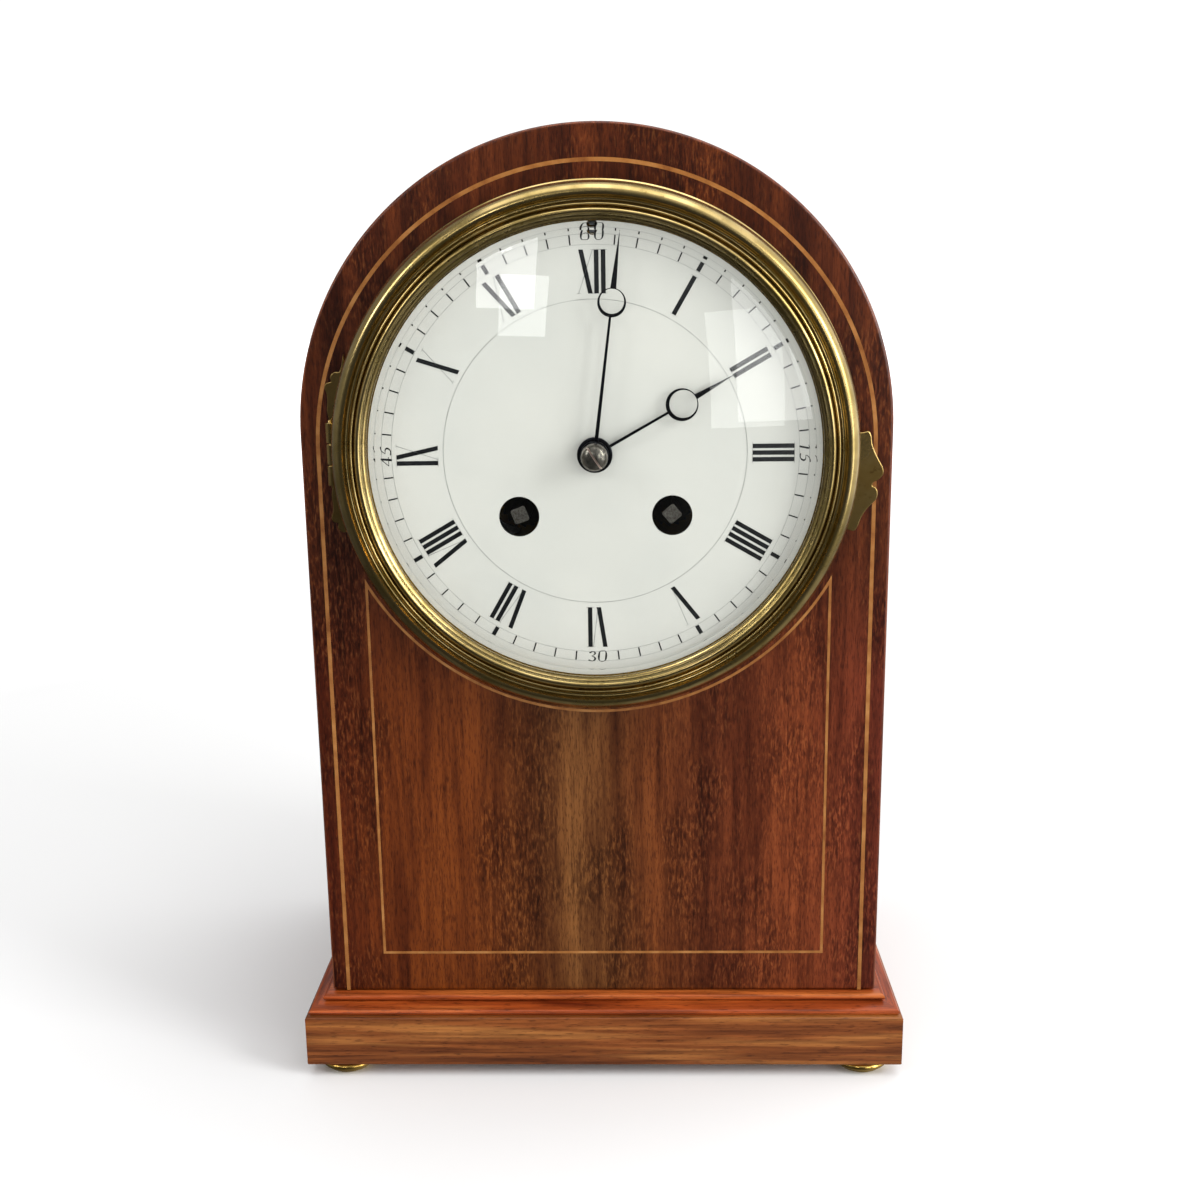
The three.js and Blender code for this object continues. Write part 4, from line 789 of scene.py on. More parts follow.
def digit(name):
    """A sloping digit, drawn as flattened round strokes that swell like a pen's."""
    curve = bpy.data.curves.new("digit", "CURVE")
    curve.dimensions = "3D"
    curve.bevel_depth = 0.5
    curve.bevel_resolution = 3
    curve.use_fill_caps = True
    for points in DIGITS[name]:
        spline = curve.splines.new("NURBS")
        spline.points.add(len(points) - 1)
        for point, (x, height, width) in zip(spline.points, points):
            point.co = (x + SLOPE * height, 0, height, 1)
            point.radius = width
        spline.order_u = 3
        spline.use_endpoint_u = True
        spline.resolution_u = 6
    piece = bpy.data.objects.new("digit_" + name, curve)
    bpy.context.collection.objects.link(piece)
    bpy.ops.object.select_all(action="DESELECT")
    piece.select_set(True)
    bpy.context.view_layer.objects.active = piece
    bpy.ops.object.convert(target="MESH")
    mesh = bpy.context.object.data
    mesh.materials.append(black_enamel)
    mesh.transform(Matrix.Diagonal((DIGIT_BREADTH * DIGIT_HEIGHT, 0.3 * DIGIT_HEIGHT, DIGIT_HEIGHT, 1)))
    return bpy.context.object


# Each figure: its place in degrees, whether it stands upright under the dial's middle, how far
# out it sits on the minute track, and how far apart its digits are, both in millimetres
FIGURES = {"60": (0, False, 1.2, 3.4), "15": (90, False, 0.1, 2.6), "30": (180, True, 0, 2.6),
           "45": (270, False, 0.1, 2.7)}
TRACK = (MINUTE_INNER + MINUTE_OUTER) / 2
for figure, (degrees, upright, outwards, apart) in FIGURES.items():
    for place, name in enumerate(figure):
        left = (place - 0.5) * apart * MM - (DIGIT_MIDDLE + SLOPE / 2) * DIGIT_BREADTH * DIGIT_HEIGHT
        shape = digit(name)
        shape.data.transform(Matrix.Translation((left, face_y, -DIGIT_HEIGHT / 2)))
        if upright:
            shape.data.transform(Matrix.Rotation(math.pi, 4, "Y"))
        shape.data.transform(Matrix.Translation((0, 0, TRACK + outwards * MM)))
        shape.data.transform(on_dial(math.radians(degrees)))
        marks.append(shape)
figures = merged(marks, "dial_figures")
bpy.ops.object.shade_smooth_by_angle(angle=math.radians(35))
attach(figures, "case")


# ---- movement plates ----------------------------------------------------------------------
# The movement hangs between two round plates of hard brass, stoned to an even grain; the front
# one is painted dark brown as painted shade behind the dial. The pivot holes are chamfered, and four turned
# pillars hold them apart.


def lathe_piece(name, profile, centre, steps=96, axis="y"):
    """A turned piece, finished far enough to be joined to another."""
    turn_on_lathe(name, profile, centre, axis, steps)
    return laid_down()


def middle(node):
    """The middle of a node's box, seen from the front."""
    low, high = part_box(node)
    return (low.x + high.x) / 2, (low.z + high.z) / 2


movement_brass = turned_brass("stoned_brass_movement", "c8a960", "a08148", 0.3)
# The front plate and its studs take a dark brown brass as painted shade behind the dial
shaded_front_brass = turned_brass("painted_shade_front_plate", "6a5228", "40321a", 0.5)
PIVOTED = ("second_wheel", "strike_second_wheel", "centre_wheel", "third_wheel", "escape_wheel",
           "pin_wheel", "fly")
PALLETS_AT = (0, DIAL_Z + 36.5 * MM)
HAMMER_AT = (-36.04 * MM, DIAL_Z + 12.06 * MM)
BARRELS_AT = [(side * WINDING[0], DIAL_Z + WINDING[1]) for side in (1, -1)]
CLICK_STUDS = [(side * 27.18 * MM, DIAL_Z - 21.15 * MM) for side in (1, -1)]
MINUTE_STUD = (0, DIAL_Z - 9.65 * MM)
PIVOT_HOLE = 0.9 * MM
CRUTCH_HOLE = 1.25 * MM
ARBOR_HOLE = 2.25 * MM
plate_low, plate_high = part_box("back_plate")
PLATE_THICK = plate_high.y - plate_low.y
studs_low, front_plate_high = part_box("front_plate")


def plate(name, node, near, slender_holes, studs, brass):
    """A plate with its holes, and the studs that stand on its front: (place, tip's depth)."""
    wire(name, ring_of(plate_high.x, (0, DIAL_Z), near, 160))
    for at in [middle(wheel) for wheel in PIVOTED]:
        cut_out(ring_of(PIVOT_HOLE, at, near, 20))
    for at in (PALLETS_AT, HAMMER_AT):
        cut_out(ring_of(slender_holes, at, near, 20))
    for at in BARRELS_AT:
        cut_out(ring_of(ARBOR_HOLE, at, near, 32))
    sheet_between(near, near + PLATE_THICK)
    pieces = [laid_down()]
    for (x, z), tip in studs:
        pieces.append(lathe_piece("stud", [
            (0, tip), (0.6 * MM, tip), (0.8 * MM, tip + 0.2 * MM), (0.8 * MM, near - 0.6 * MM),
            (1.2 * MM, near - 0.2 * MM), (1.2 * MM, near + 0.2 * MM), (0, near + 0.2 * MM),
        ], (x, 0, z), 24))
    merged(pieces, name)
    settle(brass, "case", [node], bevel=0.22)


plate("front_movement_plate", "front_plate", front_plate_high.y - PLATE_THICK, PIVOT_HOLE,
      [(MINUTE_STUD, studs_low.y), *[(at, studs_low.y + 4.6 * MM) for at in CLICK_STUDS]], shaded_front_brass)
plate("back_movement_plate", "back_plate", plate_low.y, CRUTCH_HOLE, [], movement_brass)

for corner in ("upper_right", "upper_left", "lower_left", "lower_right"):
    low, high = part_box(f"pillar_{corner}")
    collar = (high.x - low.x) / 2
    half_way = (low.y + high.y) / 2
    end = [(0, low.y), (collar - 0.3 * MM, low.y), (collar, low.y + 0.3 * MM),
           (collar, low.y + 1.7 * MM), (collar - 0.5 * MM, low.y + 2.1 * MM),
           (2.0 * MM, low.y + 2.6 * MM), (2.5 * MM, low.y + 3.4 * MM), (1.8 * MM, low.y + 4.4 * MM),
           (2.0 * MM, half_way)]
    x, z = middle(f"pillar_{corner}")
    turn_on_lathe(f"turned_pillar_{corner}", end + [(r, 2 * half_way - y) for r, y in end[-2::-1]],
                  (x, 0, z), steps=48)
    settle(movement_brass, "case", [f"pillar_{corner}"])


# ---- straps and their screws --------------------------------------------------------------
# A flat brass strap on each side runs back from the dial ring to a lug of the rear ring, where a
# steel screw with a slotted head draws the two rings together on the wood.

# Turned steel is a cool grey with faint streaks
steel = plain_finish("turned_steel", ((1.2, 8, 1.2), 4, 0.6), [(0.3, "6e7175"), (0.7, "9a9da1")],
                     {"Metallic": 1.0, "Roughness": 0.32})


def saw_slot(piece, centre, size, turn):
    """Saws a slot as large as given into a piece, turned about its middle."""
    bpy.ops.object.select_all(action="DESELECT")
    bpy.ops.mesh.primitive_cube_add(size=1, location=centre, rotation=(0, turn, 0), scale=size)
    blade = bpy.context.object
    bpy.ops.object.select_all(action="DESELECT")
    piece.select_set(True)
    bpy.context.view_layer.objects.active = piece
    bpy.ops.object.modifier_add(type="BOOLEAN")
    saw = piece.modifiers[-1]
    saw.operation = "DIFFERENCE"
    saw.object = blade
    saw.solver = "EXACT"
    bpy.ops.object.modifier_apply(modifier=saw.name)
    bpy.data.objects.remove(blade)


SHANK = 1.0 * MM
HEAD_HEIGHT = 1.7 * MM
SCREW_SLOT = (8 * MM, 1.4 * MM, 0.55 * MM)
for side, turn in (("left", 20), ("right", -38)):
    low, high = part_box(f"strap_screw_{side}")
    x, z = middle(f"strap_screw_{side}")
    head = (high.x - low.x) / 2
    under = high.y - HEAD_HEIGHT
    screw = lathe_piece(f"slotted_strap_screw_{side}", [
        (0, low.y), (SHANK - 0.3 * MM, low.y), (SHANK, low.y + 0.3 * MM), (SHANK, under),
        (head - 0.15 * MM, under), (head, under + 0.15 * MM), (head, high.y - 0.7 * MM),
        (head - 0.25 * MM, high.y - 0.3 * MM), (head - 0.9 * MM, high.y), (0, high.y),
    ], (x, 0, z), 48)
    saw_slot(screw, (x, high.y, z), SCREW_SLOT, math.radians(turn))
    settle(steel, "case", [f"strap_screw_{side}"], smooth=30)


# ---- winding work -------------------------------------------------------------------------
# Each train's spring lies in a turned brass barrel with a toothed rim. Its steel arbor has a
# ratchet in front of the plate, and its end is filed square for the key and chamfered.


def teeth_of(count, tip, root, centre, lean=0.5, rounding=0.1):
    """The outline of a toothed wheel; lean is the place of the root between two tips."""
    eased = tip - 0.12 * (tip - root)
    points = []
    for i in range(count):
        for share, radius in ((-rounding, eased), (0, tip), (rounding, eased), (lean, root)):
            turn = 2 * math.pi * (i + share) / count
            points.append((centre[0] + radius * math.cos(turn), centre[1] + radius * math.sin(turn)))
    return points


# Filed steel is warm grey and streaky; behind the dial the arbor is painted nearly black as painted shade
filed_steel = plain_finish("filed_steel", ((0.5, 3, 0.5), 4, 0.65), [(0.3, "5b5650"), (0.7, "96918a")],
                           {"Metallic": 1.0, "Roughness": 0.42})
shaded_arbor_steel = plain_finish("painted_shade_arbor_steel", ((3, 3, 3), 4, 0.65), [(0.3, "241f1a"), (0.7, "40382f")],
                           {"Metallic": 1.0, "Roughness": 0.4})

DRUM = 16.2 * MM
DRUM_SHEET = 1.2 * MM
DRUM_BORE = 2.6 * MM
RIM_TEETH, RIM_TOOTH = 60, 1.08 * MM
SQUARE = 1.95 * MM
SQUARE_CORNER = 0.35 * MM
for train, at, turn in (("going", BARRELS_AT[0], 40), ("strike", BARRELS_AT[1], 20)):
    low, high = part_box(f"{train}_barrel")
    tip = (high.x - low.x) / 2
    rim_at = high.y - 1.8 * MM
    drum = lathe_piece("drum", [
        (DRUM_BORE, low.y + DRUM_SHEET), (DRUM_BORE, low.y), (5 * MM, low.y), (5.4 * MM, low.y + 0.3 * MM),
        (DRUM - 1.6 * MM, low.y + 0.3 * MM), (DRUM - 1.4 * MM, low.y), (DRUM - 0.4 * MM, low.y),
        (DRUM, low.y + 0.4 * MM), (DRUM, high.y - 0.3 * MM), (DRUM - 0.3 * MM, high.y),
        (DRUM - 1.2 * MM, high.y), (DRUM - 1.4 * MM, high.y - 0.3 * MM), (6 * MM, high.y - 0.3 * MM),
        (5.6 * MM, high.y), (DRUM_BORE, high.y), (DRUM_BORE, high.y - DRUM_SHEET),
        (DRUM - DRUM_SHEET, high.y - DRUM_SHEET), (DRUM - DRUM_SHEET, low.y + DRUM_SHEET),
        (DRUM_BORE, low.y + DRUM_SHEET),
    ], (at[0], 0, at[1]), 96)
    rim = teeth_of(RIM_TEETH, tip, tip - RIM_TOOTH, at)
    wire("toothed_rim", [(x, rim_at, z) for x, z in rim + rim[:1]])
    cut_out(ring_of(DRUM - 0.6 * MM, at, rim_at, 96))
    sheet_between(rim_at, rim_at + 1.2 * MM)
    merged([drum, laid_down()], f"{train}_spring_barrel")
    settle(movement_brass, f"{train}_barrel", [f"{train}_barrel"], smooth=30)

    low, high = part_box(f"{train}_arbor")
    ratchet_at = low.y + 15.4 * MM
    corners = []
    for quarter_turn in range(4):
        for a, b in ((SQUARE, SQUARE - SQUARE_CORNER), (SQUARE - SQUARE_CORNER, SQUARE)):
            angle = math.radians(turn + 90 * quarter_turn)
            corners.append((at[0] + a * math.cos(angle) - b * math.sin(angle),
                            at[1] + a * math.sin(angle) + b * math.cos(angle)))
    square = flat_piece("square", corners, low.y, ratchet_at)
    ratchet = flat_piece("ratchet", teeth_of(16, 6.2 * MM, 5.3 * MM, at, 0.2, 0.04), ratchet_at,
                         ratchet_at + 1.2 * MM)
    shaft = lathe_piece("shaft", [
        (0, ratchet_at - 2 * MM), (1.9 * MM, ratchet_at - 2 * MM), (1.9 * MM, high.y - 35.6 * MM),
        (2.3 * MM, high.y - 35.3 * MM), (2.3 * MM, high.y - 1.6 * MM), (1.9 * MM, high.y - 1.4 * MM),
        (1.9 * MM, high.y - 0.3 * MM), (1.6 * MM, high.y), (0, high.y),
    ], (at[0], 0, at[1]), 48)
    merged([square, ratchet, shaft], f"{train}_winding_arbor")
    arbor = settle(filed_steel, f"{train}_winding", [f"{train}_arbor"], bevel=0.22, smooth=30)
    # Behind the square's front end the arbor and its ratchet take nearly black steel as painted shade
    painted_shade_from = low.y + 3 * MM
    second_finish(arbor, shaded_arbor_steel, lambda face: face.center.y > painted_shade_from)


# ---- bell ---------------------------------------------------------------------------------
# The bell is cast of bell metal and turned thin, with a hole at its crown for the screw of its
# stand. Its turned skin is polished and slightly coppery.

bell_low, bell_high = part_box("bell")
bell_z = (bell_low.z + bell_high.z) / 2
BELL_WALL = 1.3 * MM
BELL_BORE = 2.2 * MM
ROUNDNESS, STEEPNESS = 0.7, 0.8
bell_metal = turned_brass("turned_bell_metal", "d0b583", "a48a58", 0.16, 0.6, (0, 0, bell_z))


def bell_curve(inset, steps=26):
    """The bell's skin from its mouth to its crown."""
    points = []
    for i in range(steps + 1):
        turn = math.pi / 2 * i / steps
        radius = (bell_high.x - inset) * max(math.cos(turn), 0) ** ROUNDNESS
        depth = bell_low.y + (bell_high.y - bell_low.y - inset) * math.sin(turn) ** STEEPNESS
        points.append((max(radius, BELL_BORE), depth))
    return points


bell_skin = bell_curve(0) + bell_curve(BELL_WALL)[::-1]
turn_on_lathe("turned_bell", bell_skin + bell_skin[:1], (0, 0, bell_z), steps=128)
settle(bell_metal, "case", ["bell"])


# ---- pendulum -----------------------------------------------------------------------------
# A thin steel rod hangs from a small block under the spring. The brass bob is turned lens-shaped,
# and a small turned nut near the rod's foot raises or lowers it.

rod_low, rod_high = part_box("pendulum_rod")
bob_low, bob_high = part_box("pendulum_bob")
swing_y = (rod_low.y + rod_high.y) / 2
ROD = 0.7 * MM
RATING_NUT = 2.2 * MM
NUT_LOW, NUT_HIGH = rod_low.z + 3 * MM, rod_low.z + 5 * MM
rod = lathe_piece("rod", [
    (0, rod_low.z), (0.5 * MM, rod_low.z), (ROD, rod_low.z + 0.3 * MM), (ROD, NUT_LOW),
    (RATING_NUT - 0.3 * MM, NUT_LOW), (RATING_NUT, NUT_LOW + 0.3 * MM),
    (RATING_NUT, NUT_HIGH - 0.3 * MM), (RATING_NUT - 0.3 * MM, NUT_HIGH),
    (ROD, NUT_HIGH), (ROD, rod_high.z - 2 * MM), (0, rod_high.z - 2 * MM),
], (0, swing_y, 0), 32, "z")
top_block = flat_piece("top_block", [
    (-1.0 * MM, rod_high.z - 3.5 * MM), (1.0 * MM, rod_high.z - 3.5 * MM), (1.5 * MM, rod_high.z - 2.8 * MM),
    (1.5 * MM, rod_high.z), (-1.5 * MM, rod_high.z), (-1.5 * MM, rod_high.z - 2.8 * MM),
], swing_y - 1.2 * MM, swing_y + 1.2 * MM)
merged([rod, top_block], "steel_pendulum_rod")
settle(steel, "pendulum", ["pendulum_rod"], bevel=0.08)

BOB_RIM = 0.6 * MM
bob_centre = (0, 0, (bob_low.z + bob_high.z) / 2)
bob_half = (bob_high.y - bob_low.y) / 2 - BOB_RIM
lens_side = quarter((0, swing_y + BOB_RIM), (bob_high.x, bob_half), 0, 90, 20)
lens_side[-1] = (0, lens_side[-1][1])
turn_on_lathe("lens_shaped_bob", lens_side[::-1] + [(r, 2 * swing_y - y) for r, y in lens_side],
              bob_centre)
bob_brass = turned_brass("turned_brass_bob", "cfae62", "a4834a", 0.2, 0.5, bob_centre)
settle(bob_brass, "pendulum", ["pendulum_bob"])


# ---- wheels, levers and cocks -------------------------------------------------------------
# The wheels and cocks are cut from brass and the arbors, clicks, crutch, hammer and bell stand
# are steel, stoned and polished. They keep the frame's shapes.

SLOT_FINISH = {"brass_movement": movement_brass, "steel": steel}
for entry in frame["record"]["subparts"]:
    if entry["material_slot"] in SLOT_FINISH:
        node = frame["nodes"][entry["node"]]
        node.data.materials.clear()
        node.data.materials.append(SLOT_FINISH[entry["material_slot"]])


# ---- hands --------------------------------------------------------------------------------
# Both hands are sawn from sheet steel, filed, and blued almost to black: a slender stem, a ring
# and a spear. Each has a collet, and a polished steel nut with a slot holds them on.

# Steel blued deeply is nearly black with a cold sheen; the nut is clean but darkened with age, and
# its slot is full of dried metal polish, a pale pink powder
blued = plain_finish("blued_steel", ((4, 4, 4), 3, 0.6), [(0.35, "090a0e"), (0.65, "11131b")],
                     {"Metallic": 0.9, "Roughness": 0.3})
polished = plain_finish("polished_steel", ((1.5, 1.5, 1.5), 3, 0.6), [(0.3, "4c4843"), (0.7, "8b857d")],
                        {"Metallic": 1.0, "Roughness": 0.27})
residue = plain_finish("dried_metal_polish", ((0.3, 0.3, 0.3), 2), [(0.3, "a08b80"), (0.7, "d3c2b8")],
                       {"Roughness": 0.8})
OVERLAP = 0.25 * MM


def make_hand(name, node, sizes, collet, bore, turn, body):
    """A ring hand, made upright and then turned clockwise by its angle in degrees."""
    reach, ring_at, ring_out, ring_in, stem_foot, stem_head, spear = [size * MM for size in sizes]
    low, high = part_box(node)
    near, far = low.y + 0.6 * MM, high.y - 0.6 * MM
    stem_top = ring_at - ring_in - OVERLAP
    stem = flat_piece("stem", [(-stem_foot / 2, 0), (stem_foot / 2, 0), (stem_head / 2, stem_top),
                               (-stem_head / 2, stem_top)], near, far)
    base = ring_at + ring_out - OVERLAP
    belly = base + 0.35 * (reach - base)
    point = flat_piece("spear", [
        (-spear / 2, base), (spear / 2, base), (0.34 * spear, belly), (0.05 * MM, reach),
        (-0.05 * MM, reach), (-0.34 * spear, belly),
    ], near, far)
    wire("ring", ring_of(ring_out, (0, ring_at), near, 72))
    cut_out(ring_of(ring_in, (0, ring_at + 0.6 * (ring_out - ring_in)), near, 72))
    sheet_between(near, far)
    ring = laid_down()
    edge = 0.25 * MM
    hub = lathe_piece("hub", [
        (bore, low.y), (collet - edge, low.y), (collet, low.y + edge), (collet, high.y - edge),
        (collet - edge, high.y), (bore, high.y), (bore, low.y),
    ], (0, 0, 0))
    hand = merged([stem, point, ring, hub], name)
    hand.data.transform(Matrix.Translation((0, 0, DIAL_Z)) @ Matrix.Rotation(math.radians(turn), 4, "Y"))
    settle(blued, body, [node], bevel=0.1, smooth=40)


# The hands stand at about one minute past two, in degrees from twelve
HOUR_TURN = 60.6
MINUTE_TURN = 7.1
make_hand("hour_ring_hand", "hour_hand", (39.3, 25, 4.05, 3.45, 0.8, 0.6, 1.4), 4.45 * MM, 2.5 * MM,
          HOUR_TURN, "hour")
make_hand("minute_ring_hand", "minute_hand", (54, 37.5, 3.5, 2.97, 1.0, 0.6, 1.5), 3.6 * MM, 1.6 * MM,
          MINUTE_TURN, "minute")

nut_low, nut_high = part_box("hand_nut")
NUT = 3.35 * MM
NUT_DOME = 2.2 * MM
NUT_THREAD = 0.9 * MM
SLOT = 0.42 * MM
SLOT_TURN = math.radians(57)
dome_turns = [t * math.pi / 18 for t in range(10)]
turn_on_lathe("slotted_hand_nut", [
    *[(NUT * math.sin(t), nut_low.y + NUT_DOME * (1 - math.cos(t))) for t in dome_turns],
    (NUT, nut_low.y + 2.7 * MM), (NUT - 0.25 * MM, nut_low.y + 2.9 * MM), (NUT, nut_low.y + 3.1 * MM),
    (NUT, nut_high.y), (NUT_THREAD, nut_high.y), (NUT_THREAD, nut_high.y - 2.4 * MM),
    (0, nut_high.y - 2.4 * MM),
], ring_centre)
saw_slot(laid_down(), (0, nut_low.y, DIAL_Z), (8 * MM, 2.4 * MM, SLOT), SLOT_TURN)


def in_the_slot(face):
    """Whether a face of the nut is in its saw slot."""
    aside = face.center.x * math.sin(SLOT_TURN) + (face.center.z - DIAL_Z) * math.cos(SLOT_TURN)
    return abs(aside) < 0.51 * SLOT and face.center.y < nut_low.y + 1.3 * MM


second_finish(settle(polished, "minute", ["hand_nut"], smooth=30), residue, in_the_slot)


# ---- bezel --------------------------------------------------------------------------------
# The bezel is spun from sheet brass and turned: a wide ovolo outside, a dark cove, two beads and
# a brown hollow that falls to the glass. It is polished, lacquered, and toned with age.

BEZEL = 66.8 * MM
SIGHT = 56.9 * MM
SEAT = 58.9 * MM
bezel_back = front_low.y - 1.8 * MM
lip_front = dial_low.y - 4.4 * MM
lip_back = lip_front + 0.7 * MM
crest = lip_front - 1.6 * MM
roll_back = bezel_back - 6.4 * MM
bezel_brass = turned_brass("spun_brass_bezel", "cdb47a", "9c8750", 0.21, 0.35, ring_centre)
turn_on_lathe("spun_bezel", [
    (BEZEL - 0.9 * MM, bezel_back), (BEZEL - 0.3 * MM, bezel_back), (BEZEL, bezel_back - 0.4 * MM),
    (BEZEL, bezel_back - 2.0 * MM), (BEZEL - 0.3 * MM, bezel_back - 2.4 * MM),
    (BEZEL - 0.75 * MM, bezel_back - 2.6 * MM), (BEZEL - 0.75 * MM, bezel_back - 3.1 * MM),
    (BEZEL - 0.6 * MM, bezel_back - 5.0 * MM),
    *quarter((BEZEL - 3.6 * MM, roll_back), (3.0 * MM, crest - roll_back), 0, 90, 14),
    (BEZEL - 4.1 * MM, crest + 0.1 * MM), (BEZEL - 4.4 * MM, crest + 0.7 * MM),
    *quarter((BEZEL - 5.1 * MM, crest + 0.8 * MM), (0.75 * MM, 0.9 * MM), 0, 180, 8),
    *quarter((BEZEL - 6.3 * MM, lip_front - 0.8 * MM), (0.36 * MM, 0.6 * MM), 0, -180, 8),
    (BEZEL - 6.9 * MM, lip_front - 0.5 * MM),
    *quarter((58.85 * MM, lip_front - 0.75 * MM), (0.95 * MM, 1.3 * MM), 0, -180, 12),
    (57.75 * MM, lip_front - 0.5 * MM), (57.3 * MM, lip_front - 0.2 * MM), (SIGHT, lip_front - 0.1 * MM),
    (SIGHT, lip_back), (SEAT, lip_back), (SEAT, bezel_back - 7.0 * MM),
    (SEAT + 1.1 * MM, bezel_back - 7.0 * MM),
    (SEAT + 1.1 * MM, lip_back + 0.3 * MM), (BEZEL - 3.9 * MM, crest + 1.9 * MM),
    (BEZEL - 1.9 * MM, bezel_back - 5 * MM), (BEZEL - 0.9 * MM, bezel_back),
], ring_centre, steps=256)
settle(bezel_brass, "bezel", ["bezel_frame"], smooth=32)


# ---- glass --------------------------------------------------------------------------------
# The glass is a convex disc of clear crown glass with a ground and polished bevel at its edge,
# which bends the minute marks seen through it. A thin brass ring behind holds it in the bezel.

glass_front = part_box("bezel_glass")[0].y
rim_front = lip_back + 0.3 * MM
rim_back = rim_front + 1.4 * MM
BEVEL = 2.5 * MM
GLASS = 1.6 * MM
GLASS_EDGE = SIGHT + 1.5 * MM


def dome(radius, rim, apex, steps=28):
    """Points on a sphere's cap from its rim to the middle."""
    rise = rim - apex
    sphere = (radius ** 2 + rise ** 2) / (2 * rise)
    radii = [radius * (1 - i / steps) for i in range(steps + 1)]
    return [(r, apex + sphere - math.sqrt(sphere ** 2 - r ** 2)) for r in radii]


turn_on_lathe("bevelled_glass", [
    (GLASS_EDGE, rim_back), (GLASS_EDGE, rim_front), (SIGHT - 0.3 * MM, rim_front),
    *dome(SIGHT - BEVEL, rim_front - 2.4 * MM, glass_front),
    *dome(SIGHT - 0.6 * MM, rim_back - 0.3 * MM, glass_front + GLASS)[::-1],
    (SIGHT - 0.6 * MM, rim_back), (GLASS_EDGE, rim_back),
], ring_centre, steps=192)
# Crown glass is clear, with the faintest green
crown = new_material("clear_crown_glass", {"Base Color": linear("f7faf8"), "Transmission Weight": 1.0,
                                           "Roughness": 0.0, "IOR": 1.5})
glass = settle(crown, "bezel", ["bezel_glass"], smooth=20)
glass.visible_shadow = False
glass.visible_diffuse = False

keeper_low, keeper_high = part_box("glass_retaining_ring")
turn_on_lathe("glass_keeper_ring", [
    (SIGHT - 0.3 * MM, keeper_low.y + 0.2 * MM), (SIGHT, keeper_low.y),
    (SEAT - 0.5 * MM, keeper_low.y), (SEAT - 0.3 * MM, keeper_low.y + 0.2 * MM),
    (SEAT - 0.3 * MM, keeper_high.y), (SIGHT - 0.3 * MM, keeper_high.y),
    (SIGHT - 0.3 * MM, keeper_low.y + 0.2 * MM),
], ring_centre, steps=192)
settle(spun_brass, "bezel", ["glass_retaining_ring"])


# ---- thumb tab ----------------------------------------------------------------------------
# A cast brass ornament soldered behind the bezel's edge gives the thumb a hold: a long leaf with
# a pointed lobe, a notch and a small curl under it, filed and rounded over at its rim.


def smooth_line(points, steps=4):
    """A smooth closed line through the points."""
    count = len(points)
    line = []
    for i in range(count):
        a, b, c, d = (Vector(points[(i + k - 1) % count]) for k in range(4))
        for t in [j / steps for j in range(steps)]:
            line.append((2 * b + (c - a) * t + (2 * a - 5 * b + 4 * c - d) * t ** 2
                         + (3 * b - a - 3 * c + d) * t ** 3) / 2)
    return [(v.x, v.y) for v in line]


def about_dial(points):
    """Points about the middle of the dial from (radius in mm, degrees above three o'clock)."""
    turned = [(r * MM, math.radians(degrees)) for r, degrees in points]
    return [(r * math.cos(t), DIAL_Z + r * math.sin(t)) for r, t in turned]


ornament_brass = turned_brass("cast_brass_ornament", "c0a468", "8d7340", 0.26)
tab_low, tab_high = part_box("thumb_tab")
TAB_EDGE = [
    (66.3, 2.9), (68.1, 3.5), (69.4, 3.6), (70.0, 2.5), (70.2, 1.0), (70.9, -0.6), (72.1, -2.4),
    (73.2, -3.8), (73.5, -5.1), (72.5, -6.3), (71.3, -7.0), (71.2, -7.7), (72.1, -8.0), (72.8, -8.9),
    (72.8, -10.2), (72.0, -11.3), (70.9, -12.8), (70.2, -14.6), (70.0, -16.5), (69.5, -17.7),
    (68.2, -17.9), (66.3, -17.2), (66.0, -12.0), (66.0, -7.0), (66.0, -2.0),
]
flat_piece("leaf_shaped_thumb_tab", smooth_line(about_dial(TAB_EDGE)), tab_low.y, tab_high.y)
settle(ornament_brass, "bezel", ["thumb_tab"], bevel=0.34, segments=3, smooth=50,
       bevel_angle=60)


# ---- bezel hinge --------------------------------------------------------------------------
# A scalloped brass plate is pinned to the front beside the bezel. Its two knuckles and the
# bezel's one turn on a hard brass pin with rounded ends.

HINGE_PIN = 0.5 * MM
KNUCKLE = 1.2 * MM
KNUCKLE_BORE = 0.62 * MM
FIXED_KNUCKLES = ((-8 * MM, -2.9 * MM), (2.9 * MM, 8 * MM))
MOVING_KNUCKLE = (-2.6 * MM, 2.6 * MM)
HINGE_SHEET = 1.2 * MM


def pin_place(node):
    """The middle of an upright pin, seen from above."""
    low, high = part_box(node)
    return (low.x + high.x) / 2, (low.y + high.y) / 2


def knuckle(centre, low, high):
    """A rolled knuckle on an upright pin, between two heights from the middle of the dial."""
    low, high = DIAL_Z + low, DIAL_Z + high
    edge = 0.12 * MM
    return lathe_piece("knuckle", [
        (KNUCKLE_BORE, low), (KNUCKLE - edge, low), (KNUCKLE, low + edge), (KNUCKLE, high - edge),
        (KNUCKLE - edge, high), (KNUCKLE_BORE, high), (KNUCKLE_BORE, low),
    ], (*centre, 0), 32, "z")


def leaf(across, deep, low, high):
    """A flat stretch of hinge between two limits across, two depths and two heights."""
    (left, right), (low, high) = across, (DIAL_Z + low, DIAL_Z + high)
    return flat_piece("leaf", [(left, low), (right, low), (right, high), (left, high)], *deep)


def hinge_pin(name, node):
    """The pin, a straight wire with rounded ends."""
    low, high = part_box(node)
    tip = 0.3 * MM
    turn_on_lathe(name, [
        (0, low.z), (HINGE_PIN - 0.15 * MM, low.z + 0.08 * MM), (HINGE_PIN, low.z + tip),
        (HINGE_PIN, high.z - tip), (HINGE_PIN - 0.15 * MM, high.z - 0.08 * MM), (0, high.z),
    ], (*pin_place(node), 0), "z", 32)
    settle(ornament_brass, "case", [node])


